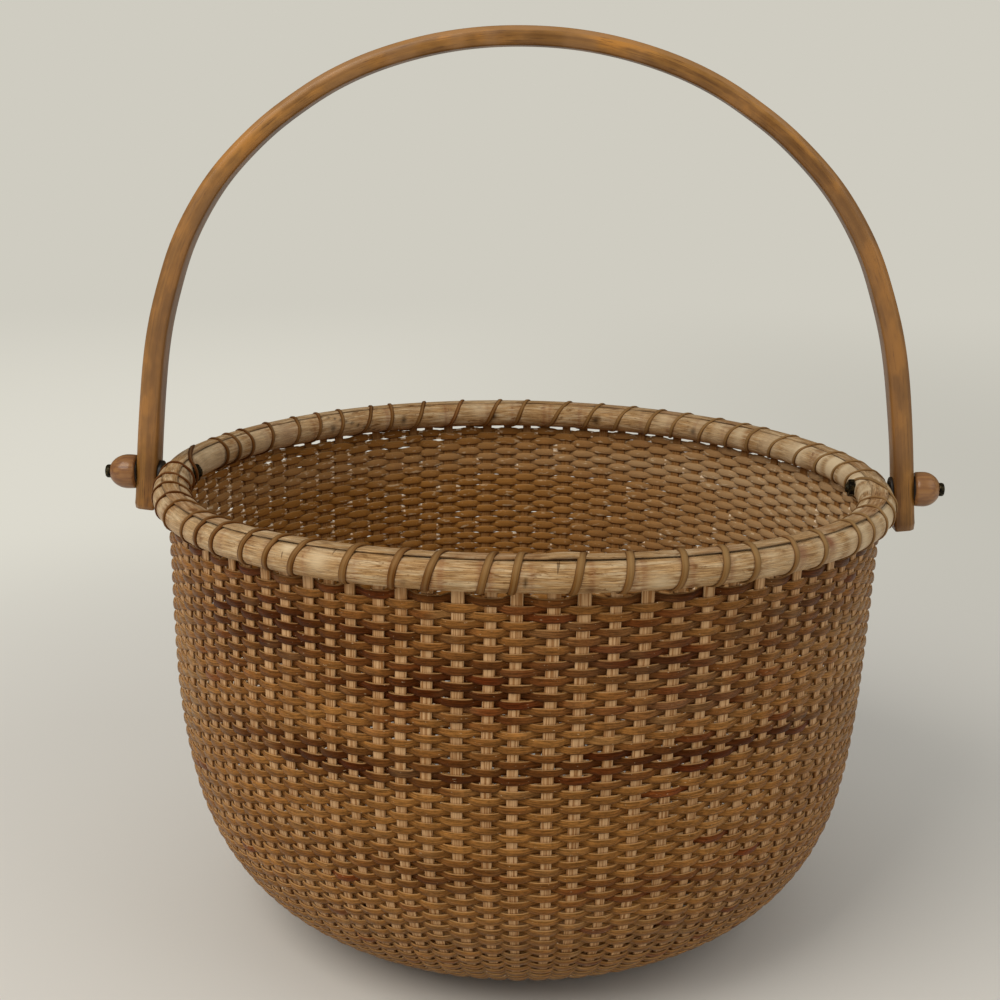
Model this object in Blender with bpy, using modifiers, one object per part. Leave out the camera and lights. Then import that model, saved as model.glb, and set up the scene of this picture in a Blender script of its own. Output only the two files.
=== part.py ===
"""Round swing-handled nantucket basket, modelled in metres with +Z up.

The origin is the middle of the underside of the wooden base, and the handle
turns about an axis along X. Rattan staves stand in a groove round the base and
rise between two half-round hoops, a cap strip covers their tops, and one
unbroken strand of cane lashes the rim. The woven wall is a closed shell with
the staves standing out of it as ribs. Each ear of the bent handle turns on a
bolt that passes through a knob, a washer, the ear, a spacer and both hoops to
a nut inside.
"""
import math

import bmesh
import bpy
from mathutils import Matrix, Vector

MM = 0.001

# Clearances and construction
FIT_GAP = 0.3 * MM
CUT_OVERRUN = 4.0 * MM
MERGE_DISTANCE = 0.01 * MM

# Wooden base
BASE_RADIUS = 74.0 * MM
BASE_HEIGHT = 8.0 * MM
BASE_EDGE_ROUND = 1.4 * MM
BASE_RECESS_RADIUS = 46.0 * MM
BASE_RECESS_DEPTH = 0.8 * MM
GROOVE_SLACK = 0.5 * MM
GROOVE_DEPTH = 6.5 * MM
PLUG_RADIUS = 6.0 * MM
PLUG_CHAMFER = 0.6 * MM

# Woven wall, by its outer face
WALL_FOOT_LEVEL = 3.8 * MM
WALL_FOOT_CLEARANCE = 0.5 * MM
WALL_TOP_RADIUS = 144.6 * MM
WALL_THICKNESS = 1.8 * MM
SHOULDER_RADIUS = 141.4 * MM
SHOULDER_HEIGHT = 110.0 * MM
TURN_POWER = 2.05
TURN_SEGMENTS = 5

# Staves, which stand out of the wall as ribs
STAVE_COUNT = 91
STAVE_THICKNESS = 1.2 * MM
STAVE_TOP_WIDTH = 4.2 * MM
STAVE_FOOT_WIDTH = 3.0 * MM

# Rim hoops and cap strip
HOOP_HEIGHT = 11.1 * MM
HOOP_TOP = 188.3 * MM
OUTER_HOOP_THICKNESS = 5.9 * MM
INNER_HOOP_THICKNESS = 7.1 * MM
RIM_ARC_ANGLES = [70.0, 25.0, -25.0, -70.0]
CAP_WIDTH = 5.8 * MM
CAP_THICKNESS = 1.4 * MM
CAP_SHOULDER_SHARE = 0.72
CAP_SHOULDER_INSET = 0.9 * MM

# Lashing strand
LASHING_WIDTH = 2.9 * MM
LASHING_THICKNESS = 0.8 * MM
LASHING_STANDOFF = 0.45 * MM
LASHING_DROP = 0.8 * MM
LASHING_SLANT_SHARE = 0.6
LASHING_PASSES_TO_LEFT = 27
LASHING_PASSES_TO_RIGHT = 28
LASHING_ADVANCE_SHARES = [0.03, 0.14, 0.26, 0.36, 0.46, 0.58, 0.66, 0.76, 0.88, 0.98, 1.0]
PIVOT_ADVANCE_SHARES = [0.0, 0.01, 0.03, 0.08, 0.30, 0.70, 0.92, 0.97, 0.99, 1.0, 1.0]

# Handle, its curve measured from the pivot axis
PIVOT_DROP = 6.1 * MM
HANDLE_THICKNESS = 7.8 * MM
HANDLE_WIDTH = 11.0 * MM
HANDLE_CORNER = 2.2 * MM
HANDLE_INNER_CORNER = 0.7 * MM
HANDLE_END_CHAMFER = 1.2 * MM
EAR_DROP = 16.3 * MM
SPRING_RISE = 7.0 * MM
HANDLE_RISE = 181.6 * MM
ARCH_POWER = 2.15
ARCH_SEGMENTS = 30

# Pivot hardware, along the axis from the rim outwards
BOLT_RADIUS = 1.8 * MM
SPACER_RADIUS = 5.7 * MM
SPACER_THICKNESS = 1.5 * MM
WASHER_RADIUS = 5.6 * MM
WASHER_THICKNESS = 0.5 * MM
KNOB_RADIUS = 7.0 * MM
KNOB_LENGTH = 10.5 * MM
KNOB_SEAT_ROUND = 0.5 * MM
KNOB_STRAIGHT = 3.6 * MM
KNOB_TIP_RADIUS = 3.5 * MM
BOLT_HEAD_RADIUS = 2.8 * MM
BOLT_HEAD_HEIGHT = 2.2 * MM
BOLT_HEAD_ROUND = 0.7 * MM
NUT_RADIUS = 3.7 * MM
NUT_THICKNESS = 2.6 * MM
NUT_CHAMFER = 0.3 * MM
BOLT_END_PROUD = 1.2 * MM

# Smoothness
BASE_STEPS = 44
HOOP_STEPS = 72
KNOB_STEPS = 20
BOLT_STEPS = 14
CUTTER_STEPS = 20
PLUG_STEPS = 20
KNOB_ARC_STEPS = 5
NUT_SIDES = 6
SHARP_ANGLE = 35.0
QUARTER_SHARE = 0.25

# Derived sizes
STAVE_PITCH_ANGLE = 2 * math.pi / STAVE_COUNT
STAVE_OUTER_RADIUS = WALL_TOP_RADIUS + STAVE_THICKNESS
STAVE_MIDDLE_RADIUS = WALL_TOP_RADIUS + STAVE_THICKNESS / 2
GROOVE_TOP = WALL_FOOT_LEVEL + GROOVE_SLACK
GROOVE_BOTTOM = WALL_FOOT_LEVEL - STAVE_THICKNESS - GROOVE_SLACK
GROOVE_FLOOR = BASE_RADIUS - GROOVE_DEPTH
WALL_FOOT_RADIUS = BASE_RADIUS + WALL_FOOT_CLEARANCE
OUTER_HOOP_SEAT = STAVE_OUTER_RADIUS + FIT_GAP
INNER_HOOP_SEAT = WALL_TOP_RADIUS - FIT_GAP
RIM_RADIUS = OUTER_HOOP_SEAT + OUTER_HOOP_THICKNESS
RIM_BORE_RADIUS = INNER_HOOP_SEAT - INNER_HOOP_THICKNESS
HOOP_MIDDLE = HOOP_TOP - HOOP_HEIGHT / 2
HOOP_BOTTOM = HOOP_TOP - HOOP_HEIGHT
PIVOT_HEIGHT = HOOP_TOP - PIVOT_DROP
LASHING_UNDER_LEVEL = HOOP_BOTTOM - LASHING_DROP
WALL_TOP = LASHING_UNDER_LEVEL - LASHING_THICKNESS - FIT_GAP
CAP_BOTTOM = HOOP_TOP + FIT_GAP
SPACER_SEAT = RIM_RADIUS + FIT_GAP
EAR_INNER = SPACER_SEAT + SPACER_THICKNESS + FIT_GAP
EAR_OUTER = EAR_INNER + HANDLE_THICKNESS
WASHER_SEAT = EAR_OUTER + FIT_GAP
KNOB_SEAT = WASHER_SEAT + WASHER_THICKNESS + FIT_GAP
BOLT_HEAD_SEAT = KNOB_SEAT + KNOB_LENGTH + FIT_GAP
NUT_SEAT = RIM_BORE_RADIUS - FIT_GAP
BOLT_END = NUT_SEAT - NUT_THICKNESS - BOLT_END_PROUD
HOLE_RADIUS = BOLT_RADIUS + FIT_GAP


def clear_scene():
    for old in list(bpy.data.objects):
        bpy.data.objects.remove(old, do_unlink=True)


def new_collection(name):
    collection = bpy.data.collections.new(name)
    bpy.context.scene.collection.children.link(collection)
    return collection


def new_material(name, colour, roughness, metallic=0.0):
    material = bpy.data.materials.new(name)
    material.use_nodes = True
    shader = material.node_tree.nodes["Principled BSDF"]
    shader.inputs["Base Color"].default_value = (*colour, 1.0)
    shader.inputs["Roughness"].default_value = roughness
    shader.inputs["Metallic"].default_value = metallic
    return material


def mesh_object(name, bm, material, collection):
    """Turn a bmesh into an object of its own, shaded smooth with sharp edges."""
    bmesh.ops.recalc_face_normals(bm, faces=bm.faces)
    mesh = bpy.data.meshes.new(name)
    bm.to_mesh(mesh)
    bm.free()
    mesh.materials.append(material)
    if mesh.polygons:
        mesh.shade_smooth()
        mesh.set_sharp_from_angle(angle=math.radians(SHARP_ANGLE))
    made = bpy.data.objects.new(name, mesh)
    collection.objects.link(made)
    return made


def turned(name, outline, steps, material, collection, closed=True):
    """Turn an outline of (radius, height) about local Z with a Screw modifier.

    The outline starts at the top of its outer side and runs down it. A closed
    outline makes a ring; an open one starts and ends on the axis.
    """
    bm = bmesh.new()
    verts = [bm.verts.new((radius, 0.0, height)) for radius, height in outline]
    for first, second in zip(verts, verts[1:]):
        bm.edges.new((first, second))
    if closed:
        bm.edges.new((verts[-1], verts[0]))
    mesh = bpy.data.meshes.new(name)
    bm.to_mesh(mesh)
    bm.free()
    mesh.materials.append(material)
    made = bpy.data.objects.new(name, mesh)
    collection.objects.link(made)
    screw = made.modifiers.new("Turn", "SCREW")
    screw.axis = "Z"
    screw.angle = 2 * math.pi
    screw.steps = steps
    screw.render_steps = steps
    screw.use_merge_vertices = True
    screw.merge_threshold = MERGE_DISTANCE
    screw.use_smooth_shade = True
    return made


def loft(bm, rings):
    """Join closed rings of points into one solid with a face on each end."""
    loops = [[bm.verts.new(point) for point in ring] for ring in rings]
    for low, high in zip(loops, loops[1:]):
        for i in range(len(low)):
            j = (i + 1) % len(low)
            bm.faces.new((low[i], low[j], high[j], high[i]))
    bm.faces.new(list(reversed(loops[0])))
    bm.faces.new(loops[-1])


def half_round(seat, thickness, stand=0.0):
    """Points (radius, height) of a hoop's round side, top first.

    The flat of the middle facet lies at the hoop's full thickness. A negative
    thickness faces the axis, and a stand moves the points off the hoop.
    """
    full = math.cos(math.radians(min(abs(angle) for angle in RIM_ARC_ANGLES)))
    width = thickness / full + math.copysign(stand, thickness)
    height = HOOP_HEIGHT / 2 + stand
    points = []
    for angle in RIM_ARC_ANGLES:
        turn = math.radians(angle)
        points.append((seat + width * math.cos(turn), HOOP_MIDDLE + height * math.sin(turn)))
    return points


def offset_outline(points, distance):
    """Move an open outline of (radius, height) to its left by a distance."""
    moved = []
    last = len(points) - 1
    for i, (radius, height) in enumerate(points):
        before = Vector(points[max(i - 1, 0)])
        here = Vector((radius, height))
        after = Vector(points[min(i + 1, last)])
        along_in = (here - before).normalized() if i > 0 else (after - here).normalized()
        along_out = (after - here).normalized() if i < last else along_in
        left_in = Vector((-along_in.y, along_in.x))
        left_out = Vector((-along_out.y, along_out.x))
        mitre = (left_in + left_out).normalized()
        reach = distance / mitre.dot(left_in)
        moved.append((radius + mitre.x * reach, height + mitre.y * reach))
    return moved


def wall_outline():
    """Outer face of the wall as (radius, height), from the base up to the rim."""
    outline = []
    for i in range(TURN_SEGMENTS + 1):
        turn = math.pi / 2 * i / TURN_SEGMENTS
        out = math.sin(turn) ** (2 / TURN_POWER)
        down = abs(math.cos(turn)) ** (2 / TURN_POWER)
        radius = WALL_FOOT_RADIUS + (SHOULDER_RADIUS - WALL_FOOT_RADIUS) * out
        height = SHOULDER_HEIGHT - (SHOULDER_HEIGHT - WALL_FOOT_LEVEL) * down
        outline.append((radius, height))
    outline.append((WALL_TOP_RADIUS, WALL_TOP))
    return outline


def gap_angle(index):
    """Angle of the middle of the gap before the stave with this index.

    The ring of staves is turned by a quarter of their pitch, so that with an
    odd number of them both bolts pass beside the middle of a stave.
    """
    return (index + QUARTER_SHARE) * STAVE_PITCH_ANGLE


def stave_angle(index):
    return (gap_angle(index) + gap_angle(index + 1)) / 2


def make_base(material, collection):
    top_inner = PLUG_RADIUS + FIT_GAP
    lower_round = BASE_EDGE_ROUND / 2
    outline = [
        (top_inner, BASE_HEIGHT),
        (BASE_RADIUS - BASE_EDGE_ROUND, BASE_HEIGHT),
        (BASE_RADIUS, BASE_HEIGHT - BASE_EDGE_ROUND),
        (BASE_RADIUS, GROOVE_TOP),
        (GROOVE_FLOOR, GROOVE_TOP),
        (GROOVE_FLOOR, GROOVE_BOTTOM),
        (BASE_RADIUS, GROOVE_BOTTOM),
        (BASE_RADIUS, lower_round),
        (BASE_RADIUS - lower_round, 0.0),
        (BASE_RECESS_RADIUS, 0.0),
        (BASE_RECESS_RADIUS - BASE_RECESS_DEPTH, BASE_RECESS_DEPTH),
        (top_inner, BASE_RECESS_DEPTH),
    ]
    return turned("base", outline, BASE_STEPS, material, collection)


def make_plug(material, collection):
    bottom = BASE_RECESS_DEPTH
    outline = [
        (0.0, BASE_HEIGHT),
        (PLUG_RADIUS - PLUG_CHAMFER, BASE_HEIGHT),
        (PLUG_RADIUS, BASE_HEIGHT - PLUG_CHAMFER),
        (PLUG_RADIUS, bottom + PLUG_CHAMFER),
        (PLUG_RADIUS - PLUG_CHAMFER, bottom),
        (0.0, bottom),
    ]
    return turned("base_plug", outline, PLUG_STEPS, material, collection, closed=False)


def stave_widths(outline):
    """Width of a stave at each point of the outline, tapering to its foot."""
    lengths = [0.0]
    for (r0, z0), (r1, z1) in zip(outline, outline[1:]):
        lengths.append(lengths[-1] + math.hypot(r1 - r0, z1 - z0))
    taper = STAVE_TOP_WIDTH - STAVE_FOOT_WIDTH
    return [STAVE_FOOT_WIDTH + taper * length / lengths[-1] for length in lengths]


def stave_points(bm, index, back, front, width):
    """Corners of one stave's section: back left, front left, front right, back right."""
    angle = stave_angle(index)
    outward = Vector((math.cos(angle), math.sin(angle), 0.0))
    sideways = Vector((-math.sin(angle), math.cos(angle), 0.0)) * (width / 2)
    corners = []
    for (radius, height), side in ((back, -sideways), (front, -sideways), (front, sideways), (back, sideways)):
        corners.append(bm.verts.new(outward * radius + side + Vector((0.0, 0.0, height))))
    return corners


def join_staves_to_end(bm, ribs, inner, ends):
    """Carry the staves on past one edge of the wall, and close that edge."""
    count = len(ribs)
    for i in range(count):
        section = ribs[i]
        end = ends[i]
        for j in range(4):
            k = (j + 1) % 4
            bm.faces.new((section[j], section[k], end[k], end[j]))
        bm.faces.new(end)
        following = ribs[(i + 1) % count]
        after = inner[(i + 1) % count]
        bm.faces.new((section[0], section[3], after, inner[i]))
        bm.faces.new((section[3], following[0], after))


def make_wall(material, collection):
    """Closed woven shell whose staves stand out as ribs, into the base and the rim.

    The weave's outer face runs behind the staves. Their feet reach into the
    groove of the base, and their tops stand up between the two hoops.
    """
    skin = wall_outline()
    ribs = offset_outline(skin, -STAVE_THICKNESS)
    lining = [(WALL_FOOT_RADIUS, WALL_FOOT_LEVEL + WALL_THICKNESS)]
    lining += offset_outline(skin, WALL_THICKNESS)[1:]
    widths = stave_widths(skin)
    tip_radius = GROOVE_FLOOR + FIT_GAP
    bm = bmesh.new()
    rib_rings = []
    inner_rings = []
    for back, front, (radius, height), width in zip(skin, ribs, lining, widths):
        rib_rings.append([stave_points(bm, i, back, front, width) for i in range(STAVE_COUNT)])
        inner_rings.append([
            bm.verts.new((radius * math.cos(gap_angle(i)), radius * math.sin(gap_angle(i)), height))
            for i in range(STAVE_COUNT)
        ])
    for low, high, inner_low, inner_high in zip(rib_rings, rib_rings[1:], inner_rings, inner_rings[1:]):
        for i in range(STAVE_COUNT):
            j = (i + 1) % STAVE_COUNT
            for a, b in ((0, 1), (1, 2), (2, 3)):
                bm.faces.new((low[i][a], low[i][b], high[i][b], high[i][a]))
            bm.faces.new((low[i][3], low[j][0], high[j][0], high[i][3]))
            bm.faces.new((inner_low[i], inner_low[j], inner_high[j], inner_high[i]))
    foot_back = (tip_radius, WALL_FOOT_LEVEL)
    foot_front = (tip_radius, WALL_FOOT_LEVEL - STAVE_THICKNESS)
    top_back = (WALL_TOP_RADIUS, HOOP_TOP)
    top_front = (STAVE_OUTER_RADIUS, HOOP_TOP)
    tips = [stave_points(bm, i, foot_back, foot_front, STAVE_FOOT_WIDTH) for i in range(STAVE_COUNT)]
    tops = [stave_points(bm, i, top_back, top_front, STAVE_TOP_WIDTH) for i in range(STAVE_COUNT)]
    join_staves_to_end(bm, rib_rings[0], inner_rings[0], tips)
    join_staves_to_end(bm, rib_rings[-1], inner_rings[-1], tops)
    return mesh_object("woven_wall", bm, material, collection)


def make_outer_hoop(material, collection):
    outline = [(OUTER_HOOP_SEAT, HOOP_TOP)]
    outline += half_round(OUTER_HOOP_SEAT, OUTER_HOOP_THICKNESS)
    outline.append((OUTER_HOOP_SEAT, HOOP_BOTTOM))
    return turned("outer_hoop", outline, HOOP_STEPS, material, collection)


def make_inner_hoop(material, collection):
    outline = [(INNER_HOOP_SEAT, HOOP_TOP), (INNER_HOOP_SEAT, HOOP_BOTTOM)]
    outline += half_round(INNER_HOOP_SEAT, -INNER_HOOP_THICKNESS)[::-1]
    return turned("inner_hoop", outline, HOOP_STEPS, material, collection)


def make_cap(material, collection):
    """Thin crowned strip that covers the stave tops and the joint of the hoops."""
    half = CAP_WIDTH / 2
    shoulder = CAP_BOTTOM + CAP_THICKNESS * CAP_SHOULDER_SHARE
    outline = [
        (STAVE_MIDDLE_RADIUS, CAP_BOTTOM + CAP_THICKNESS),
        (STAVE_MIDDLE_RADIUS + half - CAP_SHOULDER_INSET, shoulder),
        (STAVE_MIDDLE_RADIUS + half, CAP_BOTTOM),
        (STAVE_MIDDLE_RADIUS - half, CAP_BOTTOM),
        (STAVE_MIDDLE_RADIUS - half + CAP_SHOULDER_INSET, shoulder),
    ]
    return turned("rim_cap", outline, HOOP_STEPS, material, collection)


def lashing_section():
    """Points (radius, height) of one turn of the strand's inner face, outer foot first."""
    outer = half_round(OUTER_HOOP_SEAT, OUTER_HOOP_THICKNESS, LASHING_STANDOFF)[::-1]
    inner = half_round(INNER_HOOP_SEAT, -INNER_HOOP_THICKNESS, LASHING_STANDOFF)
    over_level = CAP_BOTTOM + CAP_THICKNESS + FIT_GAP
    half = CAP_WIDTH / 2
    over = [(STAVE_MIDDLE_RADIUS + half, over_level), (STAVE_MIDDLE_RADIUS - half, over_level)]
    under = [(STAVE_MIDDLE_RADIUS, LASHING_UNDER_LEVEL)]
    return outer + over + inner + under


def lashing_passes():
    """Gaps between staves that the strand goes through, one for each turn.

    The strand steps over the two gaps nearest each bolt in one turn. The
    second value holds the numbers of those two turns.
    """
    left = STAVE_COUNT // 2
    to_left = left - 2
    to_right = STAVE_COUNT - left - 2
    first = [1 + round(i * to_left / (LASHING_PASSES_TO_LEFT - 1)) for i in range(LASHING_PASSES_TO_LEFT)]
    second = [left + 1 + round(i * to_right / (LASHING_PASSES_TO_RIGHT - 1))
              for i in range(LASHING_PASSES_TO_RIGHT)]
    passes = first + second + [STAVE_COUNT + 1]
    return passes, {len(first) - 1, len(passes) - 2}


def lashing_path():
    """Middle points of the strand's inner face, turn after turn round the rim.

    The strand starts at an outer foot, and its end is tucked under the inner
    hoop, so the last pass between the staves is left out.
    """
    section = lashing_section()
    passes, pivot_turns = lashing_passes()
    path = []
    for turn, (start, end) in enumerate(zip(passes, passes[1:])):
        shares = PIVOT_ADVANCE_SHARES if turn in pivot_turns else LASHING_ADVANCE_SHARES
        for (radius, height), share in zip(section, shares):
            angle = gap_angle(start + (end - start) * share)
            path.append(Vector((radius * math.cos(angle), radius * math.sin(angle), height)))
    return path[:-1], len(section)


def report_least_gap(path, per_turn):
    """Print the least clear distance between one turn of the strand and the next."""
    least = min((a - b).length
                for i, a in enumerate(path)
                for b in path[i + per_turn - 2:i + 2 * per_turn])
    print(f"lashing: {len(path) // per_turn + 1} turns, least gap to itself "
          f"{(least - LASHING_WIDTH) / MM:.2f} mm")


def make_lashing(material, collection):
    """One unbroken flat strand: an open ribbon, given its thickness outwards."""
    path, per_turn = lashing_path()
    report_least_gap(path, per_turn)
    bm = bmesh.new()
    previous = None
    last = len(path) - 1
    for i, point in enumerate(path):
        along = (path[min(i + 1, last)] - path[max(i - 1, 0)]).normalized()
        # the strand folds along the rim, so where it leans it is cut on the slant
        crease = Vector((point.y, -point.x, 0.0)).normalized()
        slant = math.sqrt(1 - along.dot(crease) ** 2)
        across = crease * (LASHING_WIDTH / 2 / max(slant, LASHING_SLANT_SHARE))
        pair = [bm.verts.new(point - across), bm.verts.new(point + across)]
        if previous:
            bm.faces.new((previous[0], pair[0], pair[1], previous[1]))
        previous = pair
    mesh = bpy.data.meshes.new("rim_lashing")
    bm.to_mesh(mesh)
    bm.free()
    mesh.materials.append(material)
    strand = bpy.data.objects.new("rim_lashing", mesh)
    collection.objects.link(strand)
    solidify = strand.modifiers.new("Thickness", "SOLIDIFY")
    solidify.thickness = LASHING_THICKNESS
    solidify.offset = 1.0
    return strand


def arch_curve():
    """Centre points of the handle from ear to ear, with unit normals outwards.

    Coordinates are (x, z) from the pivot axis. Straight ears carry a
    superellipse arch that springs a little above the axis.
    """
    half = (EAR_INNER + EAR_OUTER) / 2
    crown = HANDLE_RISE - SPRING_RISE - HANDLE_THICKNESS / 2
    points = [(half, -EAR_DROP), (half, -EAR_DROP + HANDLE_END_CHAMFER), (half, 0.0)]
    for i in range(ARCH_SEGMENTS + 1):
        turn = math.pi * i / ARCH_SEGMENTS
        across = math.copysign(abs(math.cos(turn)) ** (2 / ARCH_POWER), math.cos(turn))
        up = abs(math.sin(turn)) ** (2 / ARCH_POWER)
        points.append((half * across, SPRING_RISE + crown * up))
    points += [(-x, z) for x, z in points[2::-1]]
    normals = []
    last = len(points) - 1
    for i in range(len(points)):
        before = Vector(points[max(i - 1, 0)])
        after = Vector(points[min(i + 1, last)])
        along = (after - before).normalized()
        normals.append(Vector((along.y, -along.x)))
    # both ears stay square to the axis where the bolts pass
    for i in (0, 1, 2, 3):
        normals[i] = Vector((1.0, 0.0))
        normals[last - i] = Vector((-1.0, 0.0))
    return points, normals


def handle_section(inset):
    """Section of the handle as (outward, along Y), drawn in by an inset."""
    out = HANDLE_THICKNESS / 2 - inset
    wide = HANDLE_WIDTH / 2 - inset
    return [
        (out, wide - HANDLE_CORNER), (out - HANDLE_CORNER, wide),
        (-out + HANDLE_INNER_CORNER, wide), (-out, wide - HANDLE_INNER_CORNER),
        (-out, -wide + HANDLE_INNER_CORNER), (-out + HANDLE_INNER_CORNER, -wide),
        (out - HANDLE_CORNER, -wide), (out, -wide + HANDLE_CORNER),
    ]


def make_handle(material, collection, pivot):
    points, normals = arch_curve()
    last = len(points) - 1
    rings = []
    for i, ((x, z), normal) in enumerate(zip(points, normals)):
        inset = HANDLE_END_CHAMFER if i in (0, last) else 0.0
        rings.append([(x + normal.x * out, y, z + normal.y * out) for out, y in handle_section(inset)])
    bm = bmesh.new()
    loft(bm, rings)
    handle = mesh_object("handle", bm, material, collection)
    handle.parent = pivot
    return handle


def along_axis(made, side):
    """Lay a piece turned about Z along X, its local +Z pointing outwards."""
    made.rotation_euler = (0.0, side * math.pi / 2, 0.0)
    made.location = (0.0, 0.0, PIVOT_HEIGHT)
    return made


def ring_outline(bore, radius, low, high):
    return [(radius, high), (radius, low), (bore, low), (bore, high)]


def make_knob(side, label, material, collection):
    """Bullet-shaped knob: a short straight barrel and an elliptical dome."""
    end = KNOB_SEAT + KNOB_LENGTH
    shoulder = KNOB_SEAT + KNOB_STRAIGHT
    outline = [(HOLE_RADIUS, end), (KNOB_TIP_RADIUS, end)]
    # the dome's ellipse would end on the axis; it is cut off at the tip's radius
    cut_angle = math.acos(KNOB_TIP_RADIUS / KNOB_RADIUS)
    dome_height = (end - shoulder) / math.sin(cut_angle)
    for i in range(1, KNOB_ARC_STEPS + 1):
        turn = cut_angle * (1 - i / KNOB_ARC_STEPS)
        outline.append((KNOB_RADIUS * math.cos(turn), shoulder + dome_height * math.sin(turn)))
    outline += [
        (KNOB_RADIUS, KNOB_SEAT + KNOB_SEAT_ROUND),
        (KNOB_RADIUS - KNOB_SEAT_ROUND, KNOB_SEAT),
        (HOLE_RADIUS, KNOB_SEAT),
    ]
    knob = turned(f"{label}_knob", outline, KNOB_STEPS, material, collection)
    return along_axis(knob, side)


def make_bolt(side, label, material, collection):
    head_top = BOLT_HEAD_SEAT + BOLT_HEAD_HEIGHT
    outline = [
        (0.0, head_top),
        (BOLT_HEAD_RADIUS - BOLT_HEAD_ROUND, head_top),
        (BOLT_HEAD_RADIUS, head_top - BOLT_HEAD_ROUND),
        (BOLT_HEAD_RADIUS, BOLT_HEAD_SEAT),
        (BOLT_RADIUS, BOLT_HEAD_SEAT),
        (BOLT_RADIUS, BOLT_END),
        (0.0, BOLT_END),
    ]
    bolt = turned(f"{label}_bolt", outline, BOLT_STEPS, material, collection, closed=False)
    return along_axis(bolt, side)


def make_disc(name, side, radius, seat, thickness, material, collection):
    outline = ring_outline(HOLE_RADIUS, radius, seat, seat + thickness)
    disc = turned(name, outline, KNOB_STEPS, material, collection)
    return along_axis(disc, side)


def make_nut(side, label, material, collection, hole_cutter):
    bm = bmesh.new()
    bmesh.ops.create_cone(bm, cap_ends=True, segments=NUT_SIDES, radius1=NUT_RADIUS,
                          radius2=NUT_RADIUS, depth=NUT_THICKNESS)
    middle = NUT_SEAT - NUT_THICKNESS / 2
    bmesh.ops.translate(bm, verts=bm.verts, vec=(0.0, 0.0, middle))
    end_edges = [edge for edge in bm.edges if abs(edge.verts[0].co.z - edge.verts[1].co.z) < MERGE_DISTANCE]
    bmesh.ops.bevel(bm, geom=end_edges, offset=NUT_CHAMFER, segments=1, affect="EDGES")
    nut = mesh_object(f"{label}_nut", bm, material, collection)
    along_axis(nut, side)
    cut(nut, hole_cutter)
    return nut


def make_hole_cutter(collection):
    """One rod along the pivot axis, past both sides, that drills every hole."""
    length = 2 * (EAR_OUTER + CUT_OVERRUN)
    bm = bmesh.new()
    bmesh.ops.create_cone(bm, cap_ends=True, segments=CUTTER_STEPS, radius1=HOLE_RADIUS,
                          radius2=HOLE_RADIUS, depth=length)
    bmesh.ops.rotate(bm, verts=bm.verts, cent=Vector(), matrix=Matrix.Rotation(math.pi / 2, 3, "Y"))
    mesh = bpy.data.meshes.new("pivot_hole_cutter")
    bm.to_mesh(mesh)
    bm.free()
    cutter = bpy.data.objects.new("pivot_hole_cutter", mesh)
    cutter.location = (0.0, 0.0, PIVOT_HEIGHT)
    cutter.hide_render = True
    cutter.display_type = "WIRE"
    collection.objects.link(cutter)
    return cutter


def cut(target, cutter):
    boolean = target.modifiers.new("Pivot holes", "BOOLEAN")
    boolean.operation = "DIFFERENCE"
    boolean.object = cutter
    boolean.solver = "EXACT"


def main():
    clear_scene()
    parts = new_collection("nantucket_basket")
    cutters = new_collection("cutters")

    base_wood = new_material("base_wood", (0.36, 0.21, 0.10), 0.45)
    weave_cane = new_material("weave_cane", (0.40, 0.24, 0.11), 0.42)
    hoop_rattan = new_material("hoop_rattan", (0.55, 0.40, 0.23), 0.50)
    lashing_cane = new_material("lashing_cane", (0.33, 0.18, 0.08), 0.38)
    handle_wood = new_material("handle_wood", (0.35, 0.17, 0.07), 0.32)
    knob_wood = new_material("knob_wood", (0.42, 0.22, 0.11), 0.25)
    spacer_black = new_material("spacer_black", (0.02, 0.02, 0.02), 0.50)
    bolt_bronze = new_material("bolt_bronze", (0.08, 0.08, 0.06), 0.40, metallic=0.9)

    hole_cutter = make_hole_cutter(cutters)

    make_base(base_wood, parts)
    make_plug(base_wood, parts)
    cut(make_wall(weave_cane, parts), hole_cutter)
    for hoop in (make_outer_hoop(hoop_rattan, parts), make_inner_hoop(hoop_rattan, parts)):
        cut(hoop, hole_cutter)
    make_cap(hoop_rattan, parts)
    make_lashing(lashing_cane, parts)

    pivot = bpy.data.objects.new("handle_pivot", None)
    pivot.location = (0.0, 0.0, PIVOT_HEIGHT)
    parts.objects.link(pivot)
    handle = make_handle(handle_wood, parts, pivot)
    cut(handle, hole_cutter)

    for side, label in ((1, "right"), (-1, "left")):
        make_bolt(side, label, bolt_bronze, parts)
        make_nut(side, label, bolt_bronze, parts, hole_cutter)
        make_disc(f"{label}_spacer", side, SPACER_RADIUS, SPACER_SEAT, SPACER_THICKNESS, spacer_black, parts)
        make_disc(f"{label}_washer", side, WASHER_RADIUS, WASHER_SEAT, WASHER_THICKNESS, spacer_black, parts)
        make_knob(side, label, knob_wood, parts)


main()
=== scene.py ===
"""Round nantucket basket with a swing handle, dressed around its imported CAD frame.

Lengths in the tables are millimetres and turn into metres where a mesh is
made. The frame's origin is the middle of the underside of the wooden base, +Z
is up and the handle turns about an axis along X.
"""
import math

import bpy
import numpy as np
from bpy.props import FloatProperty, FloatVectorProperty, IntProperty, PointerProperty
from mathutils import Matrix, Vector


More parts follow.
